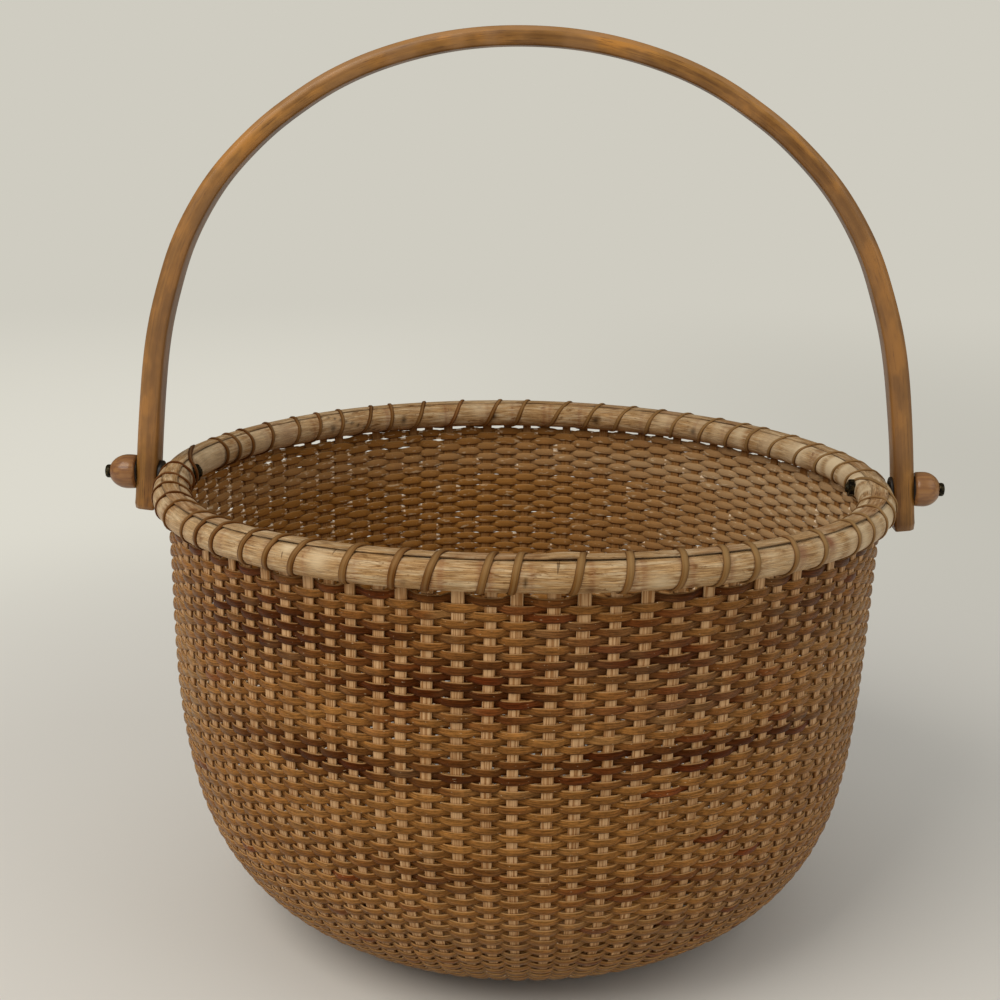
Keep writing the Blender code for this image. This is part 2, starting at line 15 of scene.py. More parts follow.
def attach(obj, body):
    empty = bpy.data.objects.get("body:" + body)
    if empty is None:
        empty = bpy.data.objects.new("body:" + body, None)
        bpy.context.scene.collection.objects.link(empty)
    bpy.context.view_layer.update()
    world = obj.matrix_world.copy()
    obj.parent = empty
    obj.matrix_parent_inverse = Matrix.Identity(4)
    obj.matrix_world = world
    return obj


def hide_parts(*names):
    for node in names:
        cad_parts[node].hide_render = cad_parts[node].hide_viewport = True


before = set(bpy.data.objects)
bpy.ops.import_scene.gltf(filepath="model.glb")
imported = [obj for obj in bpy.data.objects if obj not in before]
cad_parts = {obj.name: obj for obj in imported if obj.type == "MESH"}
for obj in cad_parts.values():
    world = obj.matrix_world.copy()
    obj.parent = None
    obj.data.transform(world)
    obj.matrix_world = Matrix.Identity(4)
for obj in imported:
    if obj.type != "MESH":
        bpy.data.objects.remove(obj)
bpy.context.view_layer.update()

bl_info = {
    "name": "Nantucket Basket",
    "version": (1, 0, 0),
    "blender": (4, 5, 0),
    "location": "View3D > Sidebar > Basket",
    "description": "Builds a round woven basket with a bent swing handle, piece by piece",
    "category": "Add Mesh",
}

MM = 0.001
FIXED, SWINGING = "basket", "handle"

# The camera that the photograph was taken with, in the frame of the part: metres, degrees and mm
CAMERA_PLACE = (0.0211, -0.6046, 0.3189)
CAMERA_YAW, CAMERA_PITCH, CAMERA_ROLL = 2.0, 13.50, 0.60
FOCAL_LENGTH = 53.29
SENSOR_WIDTH = 36.0
SIDE_SHIFT = -0.02495
# The side of the basket that faces the camera, as an angle from +X in degrees
FRONT_ANGLE = -88.0

# Middle surface of the wall as (radius, height), from the groove in the base to the rim
WALL_MIDDLE = (
    (68.0, 3.2), (72.5, 3.0), (76.8, 3.1), (82.4, 4.2), (88.1, 6.1), (100.9, 11.9), (112.3, 20.0),
    (121.7, 30.4), (128.9, 42.4), (133.85, 55.4), (137.1, 69.3), (139.2, 83.2), (140.75, 97.4),
    (142.6, 126.0), (143.9, 154.4), (144.7, 170.0), (145.2, 178.0), (145.2, 188.2),
)
WALL_HEIGHT = 190.0
WALL_SAMPLES = 900
# Where the first row of cane lies, how high the last one does, and how far round it ends in degrees
FIRST_ROW_RADIUS = 77.6
LAST_ROW_HEIGHT = 175.7
LAST_ROW_END = 196.0
# How far the last rows have slipped down at the back: degrees right of the front and mm; what
# lies further below them than the reach hasn't moved
TOP_SLIP = ((95, 0.0), (118, 0.6), (135, 0.3), (150, 0.8), (172, 1.2), (200, 1.5), (216, 1.5), (238, 1.6),
            (246, 0.0))
TOP_SLIP_REACH = 22.0
# The body leans to the left and swells at half height; the rim is narrower and hangs to the right
BODY_LEAN = -1.5
BODY_SWELL = 0.0055
RIM_SQUEEZE, RIM_TILT = 0.0060, 0.75
# Unevenness of the rim: degrees right of the front and rise in mm
RIM_RISE = ((0, 0.0), (30, -0.3), (58, -0.4), (90, 0.0), (112, -0.1), (140, 0.2), (165, 0.4), (185, 0.7),
            (215, 1.1), (240, 1.2), (262, 0.9), (285, 0.0), (305, -0.9), (330, -0.7), (360, 0.0))
# The rim stands out beside the left pivot: degrees right of the front, half width and distance
LEFT_SWELL_AT, LEFT_SWELL_WIDTH, LEFT_SWELL = 262.0, 16.0, 1.5

# Staves, counted from the handle's axis like the CAD's
STAVE_COUNT = 91
STAVE_PHASE = 0.2444
STAVE_PITCH = 2 * math.pi / STAVE_COUNT
# One group has drifted aside: its middle and half width in staves, and how far in stave pitches
STAVE_DRIFT_CENTRE, STAVE_DRIFT_WIDTH, STAVE_DRIFT = -24.6, 6.0, -0.62
# How unevenly the staves were set, each for itself and in groups, and how they lean, in stave pitches
STAVE_OWN_SHIFT, STAVE_GROUP_SHIFT, STAVE_LEAN = 0.09, 0.10, 0.10
STAVES_IN_GROUP = 7
STAVE_STATIONS = 64
# Width at the foot as a share of that at the rim, how much the widths differ, and the bow in mm
STAVE_FOOT_SHARE, STAVE_WIDTH_VARIES, STAVE_BOW = 0.58, 0.10, 0.10
# The staves are darker from the foot up to this height in mm
STAVE_DARKER_UP_TO = 34.0

# Woven cane: how many times a length runs round, and how far it laps past its last staves
TURNS_OF_A_LENGTH = (1.4, 3.6)
FEWEST_STAVES_OF_A_LENGTH = 6
CANE_LAP = 0.45
WEAVE_BANDS = 6
# How squarely the cane steps from over to under, and how far it stands off a stave in thicknesses
CANE_STEP, CANE_STAND = 1.6, 0.40
# The first rows are pulled down against the base, by so much and over so much of the wall, in mm
FIRST_ROWS_DROP, FIRST_ROWS_REACH = 1.5, 9.0
# Sag between the staves in row pitches, everywhere and added near the base, and where that ends
CANE_SAG, CANE_SAG_LOW, CANE_SAG_REACH = 0.06, 0.30, 150.0
# Mark of a painted pinhole of light in the part of the tint that otherwise goes from outside (0) to inside
# (1)
PAINTED_PINHOLE = 2.0
# The left wall is the loosest: its middle and half width in degrees right of the front
LOOSE_AT, LOOSE_WIDTH = 262.0, 26.0

# Rim: both hoops are as high, but the inner one is stretched and lifted a little
HOOP_TOP, HOOP_HEIGHT = 188.3, 11.1
HOOP_MIDDLE = HOOP_TOP - HOOP_HEIGHT / 2
INNER_HOOP_STRETCH, INNER_HOOP_LIFT = 1.045, 0.15
# Radius of the hoops' flat sides, and how square their round sides are (2 is an ellipse)
OUTER_SEAT, INNER_SEAT = 146.1, 144.3
HOOP_POWER = 2.25
CAP_RADIUS, CAP_WIDTH, CAP_THICKNESS = 145.3, 6.6, 0.95
CAP_BASE = HOOP_TOP + 0.1
# How far the rim rises and falls in its saddle, and how far all of it has sunk
SADDLE, SADDLE_DROP = 1.35, 0.35
# Place of the bulge in the cap strip as an angle in degrees, its half width and its height
BULGE_ANGLE, BULGE_WIDTH, BULGE_RISE = -82.4, 2.4, 0.75
RIM_STATIONS = 910

# Turns of the lashing, in degrees to the right of the front
LASHING_TURNS = (
    -68.3, -61.6, -54.5, -49.9, -45.4, -39.1, -34.7, -30.4, -22.5, -15.9, -11.4, -4.3, -0.5, 7.3, 14.0, 20.7,
    26.6, 31.7, 38.1, 44.8, 53.5, 58.2, 65.0, 71.7, 78.4, 92.0, 98.6, 106.1, 114.0, 121.5, 129.3, 133.6,
    139.7, 146.7, 152.8, 158.9, 165.8, 172.6, 180.5, 186.8, 193.5, 201.5, 208.8, 213.5, 220.1, 225.6, 231.1,
    237.1, 244.6, 248.7, 253.3, 258.2, 272.0, 278.6, 285.3,
)
LASHING_WIDTH, LASHING_THICKNESS = 2.9, 0.85
LASHING_STEPS = 30
# The turns start under the wall by so many degrees earlier, which varies round the rim
LASHING_BACK, LASHING_BACK_VARIES = 2.25, 0.75
# Slant of a turn on the outer hoop, and from what distance it passes over a bolt
LASHING_SLANT = math.radians(2.1)
WIDE_TURN = math.radians(10.0)

# Handle: outer edge of one side as (half width, height above the pivot)
HANDLE_OUTER = (
    (163.7, -16.3), (162.8, -8.0), (162.0, 2.0), (160.9, 15.0), (159.1, 32.0), (157.6, 44.0), (156.0, 54.0),
    (153.1, 67.0), (149.1, 80.0), (142.8, 97.0), (137.0, 108.0), (126.2, 124.0), (112.0, 139.0),
    (103.5, 146.5), (93.1, 154.0), (81.3, 161.6), (66.2, 169.0), (46.8, 175.6), (31.0, 179.2),
    (15.5, 181.2), (0.0, 181.8),
)
PIVOT_HEIGHT = 182.2
HANDLE_THICKNESS, HANDLE_WIDTH = 8.8, 11.0
# The left ear is sawn off shorter below this height, to this share
LEFT_EAR_CUT, LEFT_EAR_SHORTER = -10.0, 0.76
SAWN_END = 0.9
# Corners of the handle's section that lie on its outer bevels and on its inner side
HANDLE_OUTSIDE, HANDLE_INSIDE = (0, 1, 2, 3, 16, 17, 18, 19), (6, 7, 8, 9, 10, 11, 12, 13)
# The right leg is thinned on its inner side: how much, and where above the pivot
RIGHT_LEG_THINNER, THINNER_AT, THINNER_REACH = 0.55, 12, 24
# The handle thins to its crown from one height above the pivot on
CROWN_THICKNESS, THINS_FROM, THINS_OVER = 7.5, 20, 160
SIDE_SHIFT_OF_HANDLE = -1.25
HANDLE_STATIONS = 220

# Hardware along the pivot axis: spans are distances from the middle of the basket
RIM_SIDE, EAR_INNER = 151.2, 153.25
# From here outwards the pieces on the axis share the handle's shift
OUTSIDE_FROM = 139.9
SPACER_RADIUS = 4.9
WASHER_SPAN, WASHER_RADIUS = (162.05, 162.5), 5.3
KNOB_SPAN, KNOB_RADIUS, KNOB_TIP_RADIUS, KNOB_STRAIGHT = (162.6, 173.5), 7.2, 3.5, 3.8
SIDES = ((1, "right"), (-1, "left"))
# By side: how much longer each knob was turned, how worn it is, and how far its nut has moved along X
KNOB_EXTRA = {1: -0.9, -1: -0.05}
KNOB_WORN = {1: 0.2, -1: 0.0}
NUT_SHIFT = {1: 0.0, -1: -3.3}
HEAD_SPAN, HEAD_RADIUS = (173.7, 176.0), 2.8
NUT_SPAN, NUT_RADIUS, NUT_STEPS = (134.3, 136.9), 3.7, 72
BOLT_INNER_END, BOLT_RADIUS = 133.1, 1.8
BOLT_HOLE = BOLT_RADIUS + 0.25

# Base, with the groove for the staves: its depth as a radius and its lower and upper side
BASE_RADIUS, BASE_HEIGHT = 74.0, 8.0
GROOVE_FLOOR, GROOVE_SPAN = 67.5, (2.1, 4.3)
PLUG_RADIUS = 6.0

# Stage: lamps as (place, size) in metres, the height that they face, and half of the floor's side
KEY_LAMP, FILL_LAMP = ((-0.75, -0.85, 1.25), 1.0), ((1.1, -0.5, 0.9), 1.1)
LAMPS_FACE_HEIGHT = 0.12
FLOOR_HALF = 6.0

# Parts of the tint attribute: how dark, red and pale a place is, from stains and wear and from painted light
# and shade, and how far inside the basket
DARK, RED, PALER, INSIDE = range(4)

# How far apart in the pattern of their material neighbouring pieces were cut, in mm
STRIP_APART, TURNED_APART = 7.3, 31.0

# After how many knots the random waves repeat
NOISE_KNOTS = 4096


class Seed:
    """Seeds of the random waves, one for each thing that they move or colour."""
    LENGTHS = 5
    STAVE_PLACE, STAVE_GROUP, STAVE_LEAN, STAVE_WIDTH = 11, 12, 13, 21
    STAVE_BOW, STAVE_WEAR, STAVE_STAIN = 40, 300, 500
    CANE_OWN, CANE_SHORT, CANE_ODD, CANE_SINGLE, CANE_ROW = 61, 62, 63, 64, 65
    CANE_RISE, CANE_STRAY, CANE_DEPTH, CANE_STRAND, CANE_WIDTH = 71, 72, 73, 74, 75
    CANE_LOOSE, CANE_CROSSING, CANE_SPLIT, CANE_SLIP = 76, 77, 78, 79
    OUTER_HOOP, INNER_HOOP, HOOP_DIRT, HOOP_ENDS = 81, 85, 95, 96
    CAP_WANDER, CAP_WEAR, CAP_STAIN, CAP_SLIT = 91, 93, 94, 97
    LASHING_PLACE, LASHING_WIDTH, LASHING_RED, LASHING_DARK, LASHING_SLANT = 101, 103, 104, 105, 106
    HANDLE_WIDTH, HANDLE_CROWN, HANDLE_WEAR, HANDLE_RUBBED = 121, 122, 123, 124


def hex_colour(text):
    """An sRGB hex value such as 'c8a070' as linear RGB."""
    shares = [int(text[i:i + 2], 16) / 255 for i in (0, 2, 4)]
    return tuple(s / 12.92 if s <= 0.04045 else ((s + 0.055) / 1.055) ** 2.4 for s in shares)


def rgba(colour):
    """An opaque colour."""
    return (*colour, 1.0)


# Shapes of the wall and the rim

def walked(points):
    """Distance walked along a row of points, from 0 at the first."""
    return np.concatenate(([0.0], np.cumsum(np.linalg.norm(np.diff(points, axis=0), axis=1))))


def unit(vectors):
    """The same directions with a length of 1."""
    return vectors / np.linalg.norm(vectors, axis=-1, keepdims=True)


def ease(t):
    """0 to 1, with a gentle start and end."""
    return t * t * (3 - 2 * t)


def bell(x, middle, width):
    """1 at the middle, 0.37 at one width from it and nearly 0 at two."""
    return np.exp(-((x - middle) / width) ** 2)


def signed(degrees):
    """The same turn between -180 and 180 degrees."""
    return (degrees + 180) % 360 - 180


def right_of_front(angle):
    """Degrees to the right of the front, from 0 to 360, for an angle in radians."""
    return (np.degrees(angle) - FRONT_ANGLE) % 360


def smooth_curve(knots, count):
    """A cubic curve through knots, as points at even steps of the distance between the knots."""
    knots = np.array(knots)
    at = walked(knots)
    slopes = np.gradient(knots, at, axis=0)
    fine = np.linspace(0.0, at[-1], count)
    i = np.clip(np.searchsorted(at, fine) - 1, 0, len(at) - 2)
    step = (at[i + 1] - at[i])[:, None]
    t = ((fine - at[i]) / step[:, 0])[:, None]
    return ((2 * t**3 - 3 * t**2 + 1) * knots[i] + (t**3 - 2 * t**2 + t) * step * slopes[i]
            + (3 * t**2 - 2 * t**3) * knots[i + 1] + (t**3 - t**2) * step * slopes[i + 1])


class WallCurve:
    """Smooth curve through WALL_MIDDLE, by the distance along it from its foot."""

    def __init__(self):
        self.points = smooth_curve(WALL_MIDDLE, WALL_SAMPLES)
        self.length = walked(self.points)
        along = unit(np.gradient(self.points, self.length, axis=0))
        self.out = np.stack((along[:, 1], -along[:, 0]), axis=1)

    def at(self, s):
        """Radius, height and outward direction (radial, vertical) at distances along the curve."""
        return [np.interp(s, self.length, column) for column in (*self.points.T, *self.out.T)]

    def where(self, column, value):
        """Distance at which the radius (column 0) or the height (column 1) first reaches a value."""
        reached = np.argmax(self.points[:, column] >= value)
        return self.length[reached]


WALL = WallCurve()


def value_noise(seed, x, period=None):
    """Smooth noise between -1 and 1 with one knot for each unit of x; it repeats after a period."""
    knots = np.random.default_rng(seed).uniform(-1.0, 1.0, NOISE_KNOTS)
    low = np.floor(x).astype(int)
    t = ease(x - low)
    period = period or NOISE_KNOTS
    return knots[low % period] * (1 - t) + knots[(low + 1) % period] * t


def now_and_then(seed, x, period=None):
    """Smooth noise from which only the upper half is kept, so it is 0 half of the time."""
    return np.clip(value_noise(seed, x, period), 0, 1)


def saddle(angle):
    """The rim stands higher at the front and back than beside the handle, in mm."""
    return -SADDLE * np.cos(2 * (angle - math.radians(FRONT_ANGLE + 90))) - SADDLE_DROP


def settle(points):
    """Give points in mm the body's own unevenness: lean, swelling and the wavy rim."""
    x, y, z = points[..., 0], points[..., 1], points[..., 2]
    angle = np.arctan2(y, x)
    turn = right_of_front(angle)
    share = np.clip(z / WALL_HEIGHT, 0.0, 1.0)
    middle = np.sin(np.pi * share) ** 2
    swell = LEFT_SWELL * bell(turn, LEFT_SWELL_AT, LEFT_SWELL_WIDTH)
    rise = np.interp(turn, *np.array(RIM_RISE).T)
    moved = points.copy()
    moved[..., 0] += (BODY_LEAN * middle + BODY_SWELL * x * middle - RIM_SQUEEZE * x * share ** 2
                      - swell * share ** 3)
    moved[..., 1] += BODY_SWELL * y * middle
    moved[..., 2] += (saddle(angle) + rise - RIM_TILT * x / RIM_SIDE) * share ** 3
    return moved


def polar(radius, angle, height):
    """Points at radii, angles and heights round the middle of the basket."""
    return np.stack((radius * np.cos(angle), radius * np.sin(angle), height + 0 * angle), axis=-1)


def stave_shift(index):
    """How far a stave stands from its even place, in stave pitches."""
    own = STAVE_OWN_SHIFT * value_noise(Seed.STAVE_PLACE, index % STAVE_COUNT, STAVE_COUNT)
    group = STAVE_GROUP_SHIFT * value_noise(Seed.STAVE_GROUP, (index % STAVE_COUNT) / STAVES_IN_GROUP,
                                            STAVE_COUNT // STAVES_IN_GROUP)
    front = (index + STAVE_COUNT / 2) % STAVE_COUNT - STAVE_COUNT / 2
    return own + group + STAVE_DRIFT * bell(front, STAVE_DRIFT_CENTRE, STAVE_DRIFT_WIDTH)


def stave_angle(index, height):
    """Angle of a place counted in staves, at a height in mm."""
    lean = STAVE_LEAN * value_noise(Seed.STAVE_LEAN, index % STAVE_COUNT, STAVE_COUNT)
    return (index + STAVE_PHASE + stave_shift(index) + lean * (height / WALL_HEIGHT - 0.7)) * STAVE_PITCH


# Meshes

class Pieces:
    """Collects swept surfaces with a grain direction and a tint, and makes one object of them."""

    def __init__(self):
        self.points, self.quads, self.ends, self.grain, self.tint = [], [], [], [], []
        self.count = 0

    def add(self, points, grain, tint=None, ring=False, caps=True):
        """Add a grid of closed sections; ring joins the last section to the first."""
        n, m = points.shape[:2]
        rows = np.arange(n if ring else n - 1)
        i, j = np.meshgrid(rows, np.arange(m), indexing="ij")
        after, beside = (i + 1) % n, (j + 1) % m
        corners = np.stack((i * m + j, after * m + j, after * m + beside, i * m + beside), axis=-1)
        self.quads.append(corners.reshape(-1, 4) + self.count)
        if caps and not ring:
            self.ends += [np.arange(m) + self.count, np.arange(m)[::-1] + self.count + (n - 1) * m]
        self.points.append(points.reshape(-1, 3))
        self.grain.append(np.broadcast_to(grain, (n, m, 3)).reshape(-1, 3))
        tint = np.zeros(4) if tint is None else tint
        self.tint.append(np.broadcast_to(tint, (n, m, 4)).reshape(-1, 4))
        self.count += n * m

    def make(self, name, material, body, slot, *nodes):
        """One object from all that was added, with outward faces."""
        points = np.concatenate(self.points)
        quads = np.concatenate(self.quads)
        a, b, c, d = (points[quads[:, k]] for k in range(4))
        volume = np.einsum("ij,ij->i", a, np.cross(b, c) + np.cross(c, d)).sum()
        loops = [quads[:, ::-1] if volume < 0 else quads]
        sizes = [np.full(len(quads), 4)]
        flat = [loops[0].ravel()]
        for end in self.ends:
            flat.append(end[::-1] if volume < 0 else end)
            sizes.append([len(end)])
        sizes = np.concatenate(sizes)
        flat = np.concatenate(flat)
        mesh = bpy.data.meshes.new(name)
        mesh.vertices.add(len(points))
        mesh.vertices.foreach_set("co", (points * MM).astype(np.float32).ravel())
        mesh.loops.add(len(flat))
        mesh.loops.foreach_set("vertex_index", flat.astype(np.int32))
        mesh.polygons.add(len(sizes))
        starts = np.concatenate(([0], np.cumsum(sizes)[:-1]))
        mesh.polygons.foreach_set("loop_start", starts.astype(np.int32))
        mesh.update(calc_edges=True)
        mesh.validate()
        mesh.shade_smooth()
        grain = mesh.attributes.new("grain", "FLOAT_VECTOR", "POINT")
        grain.data.foreach_set("vector", np.concatenate(self.grain).astype(np.float32).ravel())
        tint = mesh.attributes.new("tint", "FLOAT_COLOR", "POINT")
        tint.data.foreach_set("color", np.concatenate(self.tint).astype(np.float32).ravel())
        mesh.materials.append(material)
        made = bpy.data.objects.new(name, mesh)
        bpy.context.scene.collection.objects.link(made)
        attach(made, body)
        if nodes:
            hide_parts(*nodes)
        return made


def sweep(path, across, section, widths=None):
    """Sections of (across, outward) offsets carried along a path of points.

    across is the direction of each section's width; the outward direction is
    square to it and to the path.
    """
    along = unit(np.gradient(path, axis=0))
    across = unit(across - along * np.sum(across * along, axis=1, keepdims=True))
    outward = np.cross(along, across)
    section = np.broadcast_to(section, (len(path), *np.shape(section)[-2:]))
    scale = np.ones(len(path)) if widths is None else widths
    return (path[:, None, :] + across[:, None, :] * (section[..., 0] * scale[:, None])[..., None]
            + outward[:, None, :] * section[..., 1][..., None])


def grain_of(length, section, number):
    """Grain coordinates in mm: along the piece, across it, and a place of the piece's own."""
    n, m = len(length), np.shape(section)[-2]
    across = np.broadcast_to(section, (n, m, 2))[..., 0]
    return np.stack((np.broadcast_to(length[:, None], (n, m)), across,
                     np.full((n, m), STRIP_APART * number)), axis=-1)


def on_axis(side, place, y, z):
    """Points of a piece on the pivot axis, by their distance outwards and across the axis."""
    shift = np.where(place > OUTSIDE_FROM, SIDE_SHIFT_OF_HANDLE, NUT_SHIFT[side])
    return np.stack((side * place + shift, y, PIVOT_HEIGHT - side * RIM_TILT + z), axis=-1)


def lathe(outline, steps, side=None, number=0, tint=None, radius=None):
    """Turn a closed outline of (radius, position) about Z, or about the pivot axis on a side.

    radius gives other radii, one row for each step, to a piece that isn't round.
    """
    turn = np.arange(steps) * 2 * math.pi / steps
    c, s = np.cos(turn)[:, None], np.sin(turn)[:, None]
    r, p = np.array(outline).T
    r, p = r if radius is None else radius, p + 0 * c
    points = np.stack((r * c, r * s, p), axis=-1) if side is None else on_axis(side, p, r * c, r * s)
    grain = np.stack((p, r * c, r * s), axis=-1) + np.array((0.0, 0.0, TURNED_APART * number))
    pieces = Pieces()
    pieces.add(points, grain, tint, ring=True)
    return pieces


# Materials

def add_node(tree, kind, inputs=None, **settings):
    """Add a node; inputs maps sockets to values or to the sockets they are linked from."""
    node = tree.nodes.new(kind)
    for name, value in settings.items():
        setattr(node, name, value)
    for key, value in (inputs or {}).items():
        if isinstance(value, bpy.types.NodeSocket):
            tree.links.new(value, node.inputs[key])
        else:
            node.inputs[key].default_value = value
    return node


def new_material(name, roughness, ior=1.5, coat=0.0, coat_roughness=0.2, metallic=0.0, gloss=0.5,
                 gloss_colour="ffffff"):
    """A material with its node tree and shader; gloss is the level of its highlights."""
    material = bpy.data.materials.new(name)
    material.use_nodes = True
    tree = material.node_tree
    shader = tree.nodes["Principled BSDF"]
    for key, value in (("Roughness", roughness), ("IOR", ior), ("Metallic", metallic),
                       ("Specular IOR Level", gloss), ("Specular Tint", rgba(hex_colour(gloss_colour))),
                       ("Coat Weight", coat), ("Coat Roughness", coat_roughness)):
        shader.inputs[key].default_value = value
    return material, tree, shader


def grain_noise(tree, scale, detail=3.0, roughness=0.55, distortion=0.0):
    """Noise stretched by a scale for each grain direction, in patterns per mm."""
    grain = add_node(tree, "ShaderNodeAttribute", attribute_name="grain")
    stretched = add_node(tree, "ShaderNodeVectorMath", {0: grain.outputs["Vector"], 1: scale},
                         operation="MULTIPLY")
    return add_node(tree, "ShaderNodeTexNoise",
                    {"Vector": stretched.outputs[0], "Scale": 1.0, "Detail": detail,
                     "Roughness": roughness, "Distortion": distortion}).outputs["Fac"]


def ramp(tree, value, low, high, to_low=0.0, to_high=1.0):
    """A smooth step of a value between low and high, to another span of values."""
    return add_node(tree, "ShaderNodeMapRange",
                    {"Value": value, "From Min": low, "From Max": high, "To Min": to_low,
                     "To Max": to_high}, interpolation_type="SMOOTHSTEP").outputs["Result"]


def blend(tree, factor, first, second, kind="MIX"):
    """The colour that a mix node gives for two colours or sockets."""
    node = add_node(tree, "ShaderNodeMix", data_type="RGBA", blend_type=kind)
    for key, value in (("Factor_Float", factor), ("A_Color", first), ("B_Color", second)):
        socket = next(s for s in node.inputs if s.identifier == key)
        if isinstance(value, bpy.types.NodeSocket):
            tree.links.new(value, socket)
        else:
            socket.default_value = value
    return next(s for s in node.outputs if s.identifier == "Result_Color")


def overlay(tree, colour, *layers):
    """Lay colours over a colour, one after another, each by its own share."""
    for share, over in layers:
        colour = blend(tree, share, colour, rgba(over))
    return colour


def math_node(tree, operation, first, second=0.0):
    """What one operation gives for two numbers or sockets."""
    return add_node(tree, "ShaderNodeMath", {0: first, 1: second}, operation=operation).outputs[0]


def times(tree, first, second):
    """The product of two numbers or sockets."""
    return math_node(tree, "MULTIPLY", first, second)


def shaded(tree, colour, shade):
    """A colour made darker or lighter by one factor."""
    grey = add_node(tree, "ShaderNodeCombineColor", {0: shade, 1: shade, 2: shade}).outputs[0]
    return blend(tree, 1.0, colour, grey, "MULTIPLY")


def tint_parts(tree):
    """The three parts of the tint attribute and its alpha."""
    tint = add_node(tree, "ShaderNodeAttribute", attribute_name="tint")
    split = add_node(tree, "ShaderNodeSeparateColor", {"Color": tint.outputs["Color"]})
    return (*split.outputs[:3], tint.outputs["Alpha"])


def across_strand(tree):
    """How far a place lies from the middle of a strand towards its upper edge, in mm."""
    grain = add_node(tree, "ShaderNodeAttribute", attribute_name="grain")
    return add_node(tree, "ShaderNodeSeparateXYZ", {0: grain.outputs["Vector"]}).outputs[1]


def finish_material(tree, shader, colour, height, strength, distance, roughness=None):
    """Link the colour, the bump of a height with its depth in mm, and the roughness."""
    tree.links.new(colour, shader.inputs["Base Color"])
    if roughness is not None:
        tree.links.new(roughness, shader.inputs["Roughness"])
    bump = add_node(tree, "ShaderNodeBump",
                    {"Height": height, "Strength": strength, "Distance": distance * MM})
    tree.links.new(bump.outputs[0], shader.inputs["Normal"])


def woven_cane():
    """Split rattan cane under old shellac: warm honey, with brown, red and grey lengths.

    The outer bark side keeps a soft gloss; the flat inner side is duller.
    """
    colours = bpy.context.scene.basket_colours
    material, tree, shader = new_material("shellacked_cane", 0.36, ior=1.47, gloss=0.2, gloss_colour="ffb070")
    dark, red, pale_share, inside = tint_parts(tree)
    # fibres run along the strand: 6 mm long and 0.3 mm wide
    fibre = grain_noise(tree, (0.16, 3.2, 1.0), detail=5.0, roughness=0.65)
    patch = grain_noise(tree, (0.035, 0.12, 1.0), detail=3.0)
    speck = grain_noise(tree, (0.7, 1.7, 1.0), detail=5.0, roughness=0.75)
    glint_noise = grain_noise(tree, (0.6, 1.5, 1.0), detail=3.0, roughness=0.6)
    dash = grain_noise(tree, (0.22, 0.8, 1.0), detail=2.0)
    colour = blend(tree, ramp(tree, patch, 0.35, 0.68), rgba(colours.cane), rgba(colours.cane_golden))
    colour = overlay(tree, colour, (red, colours.cane_red), (dark, colours.cane_dark),
                     (pale_share, colours.cane_wear_and_painted_light))
    streak = ramp(tree, fibre, 0.3, 0.7, 0.42, 1.42)
    mottle = ramp(tree, speck, 0.25, 0.6, 0.52, 1.12)
    colour = shaded(tree, colour, times(tree, streak, mottle))
    # inside, dust lies in pale dashes 4 mm long, and painted light greys what faces the lamp
    dust_and_painted_light = math_node(tree, "ADD", ramp(tree, dash, 0.60, 0.70, 0.0, 0.6), times(tree, pale_share, 0.45))
    dust_and_painted_light = times(tree, math_node(tree, "MINIMUM", dust_and_painted_light, 0.8), ramp(tree, inside, 0.0, 1.0))
    # painted glints: small pale specks stand in for light sparkling on the shellac
    painted_glints = ramp(tree, glint_noise, 0.68, 0.74, 0.0, 0.6)
    # the split edges have no bark and are pale; a painted highlight lightens the upper ones, and painted
    # shade darkens the lower ones
    across = across_strand(tree)
    upper_edge_highlight = ramp(tree, across, 1.15, 1.42, 0.0, 0.55)
    lower_edge_shade = ramp(tree, across, -0.85, -1.4, 0.0, 0.6)
    # painted light: a pale spot where two rows cross beside a stave, where light would come in through a
    # pinhole
    pinhole_light = times(tree, ramp(tree, inside, PAINTED_PINHOLE - 0.45, PAINTED_PINHOLE - 0.25),
                ramp(tree, math_node(tree, "ABSOLUTE", across), 0.5, 0.85))
    colour = overlay(tree, colour, (ramp(tree, inside, 0.0, 1.0, 0.0, 0.6), colours.cane_inside),
                     (dust_and_painted_light, colours.hoop_wear_and_painted_light), (painted_glints, colours.hoop_wear_and_painted_light),
                     (upper_edge_highlight, colours.cane_edge_and_highlight), (lower_edge_shade, colours.cane_dark),
                     (times(tree, pinhole_light, 0.95), hex_colour("f6e0c0")))
    rough = ramp(tree, math_node(tree, "ADD", times(tree, inside, 0.5), speck), 0.2, 1.1, 0.30, 0.58)
    height = math_node(tree, "ADD", fibre, times(tree, speck, 0.6))
    finish_material(tree, shader, colour, height, 0.6, 0.2, rough)
    return material


def stave_rattan():
    """Split rattan core, scraped flat: pale pinkish tan, dry, with fine vessels along it."""
    colours = bpy.context.scene.basket_colours
    material, tree, shader = new_material("scraped_rattan", 0.55, ior=1.5, gloss=0.3, gloss_colour="ffc890")
    dark, _, pale_share, inside = tint_parts(tree)
    # vessels 0.5 mm apart
    vessel = grain_noise(tree, (0.05, 1.9, 1.0), detail=2.5)
    cloud = grain_noise(tree, (0.03, 0.1, 1.0), detail=3.0)
    colour = blend(tree, ramp(tree, vessel, 0.36, 0.62), rgba(colours.stave_grain), rgba(colours.stave))
    # inside, the staves take the cane's inside colour and painted shade, as they lie recessed behind the cane
    colour = overlay(tree, colour, (ramp(tree, cloud, 0.45, 0.75, 0.0, 0.45), colours.stave_shadow),
                     (dark, colours.cane_dark), (pale_share, colours.cane_wear_and_painted_light),
                     (times(tree, inside, 0.6), colours.cane_inside),
                     (times(tree, inside, 0.35), colours.cane_dark))
    finish_material(tree, shader, colour, vessel, 0.5, 0.15)
    return material


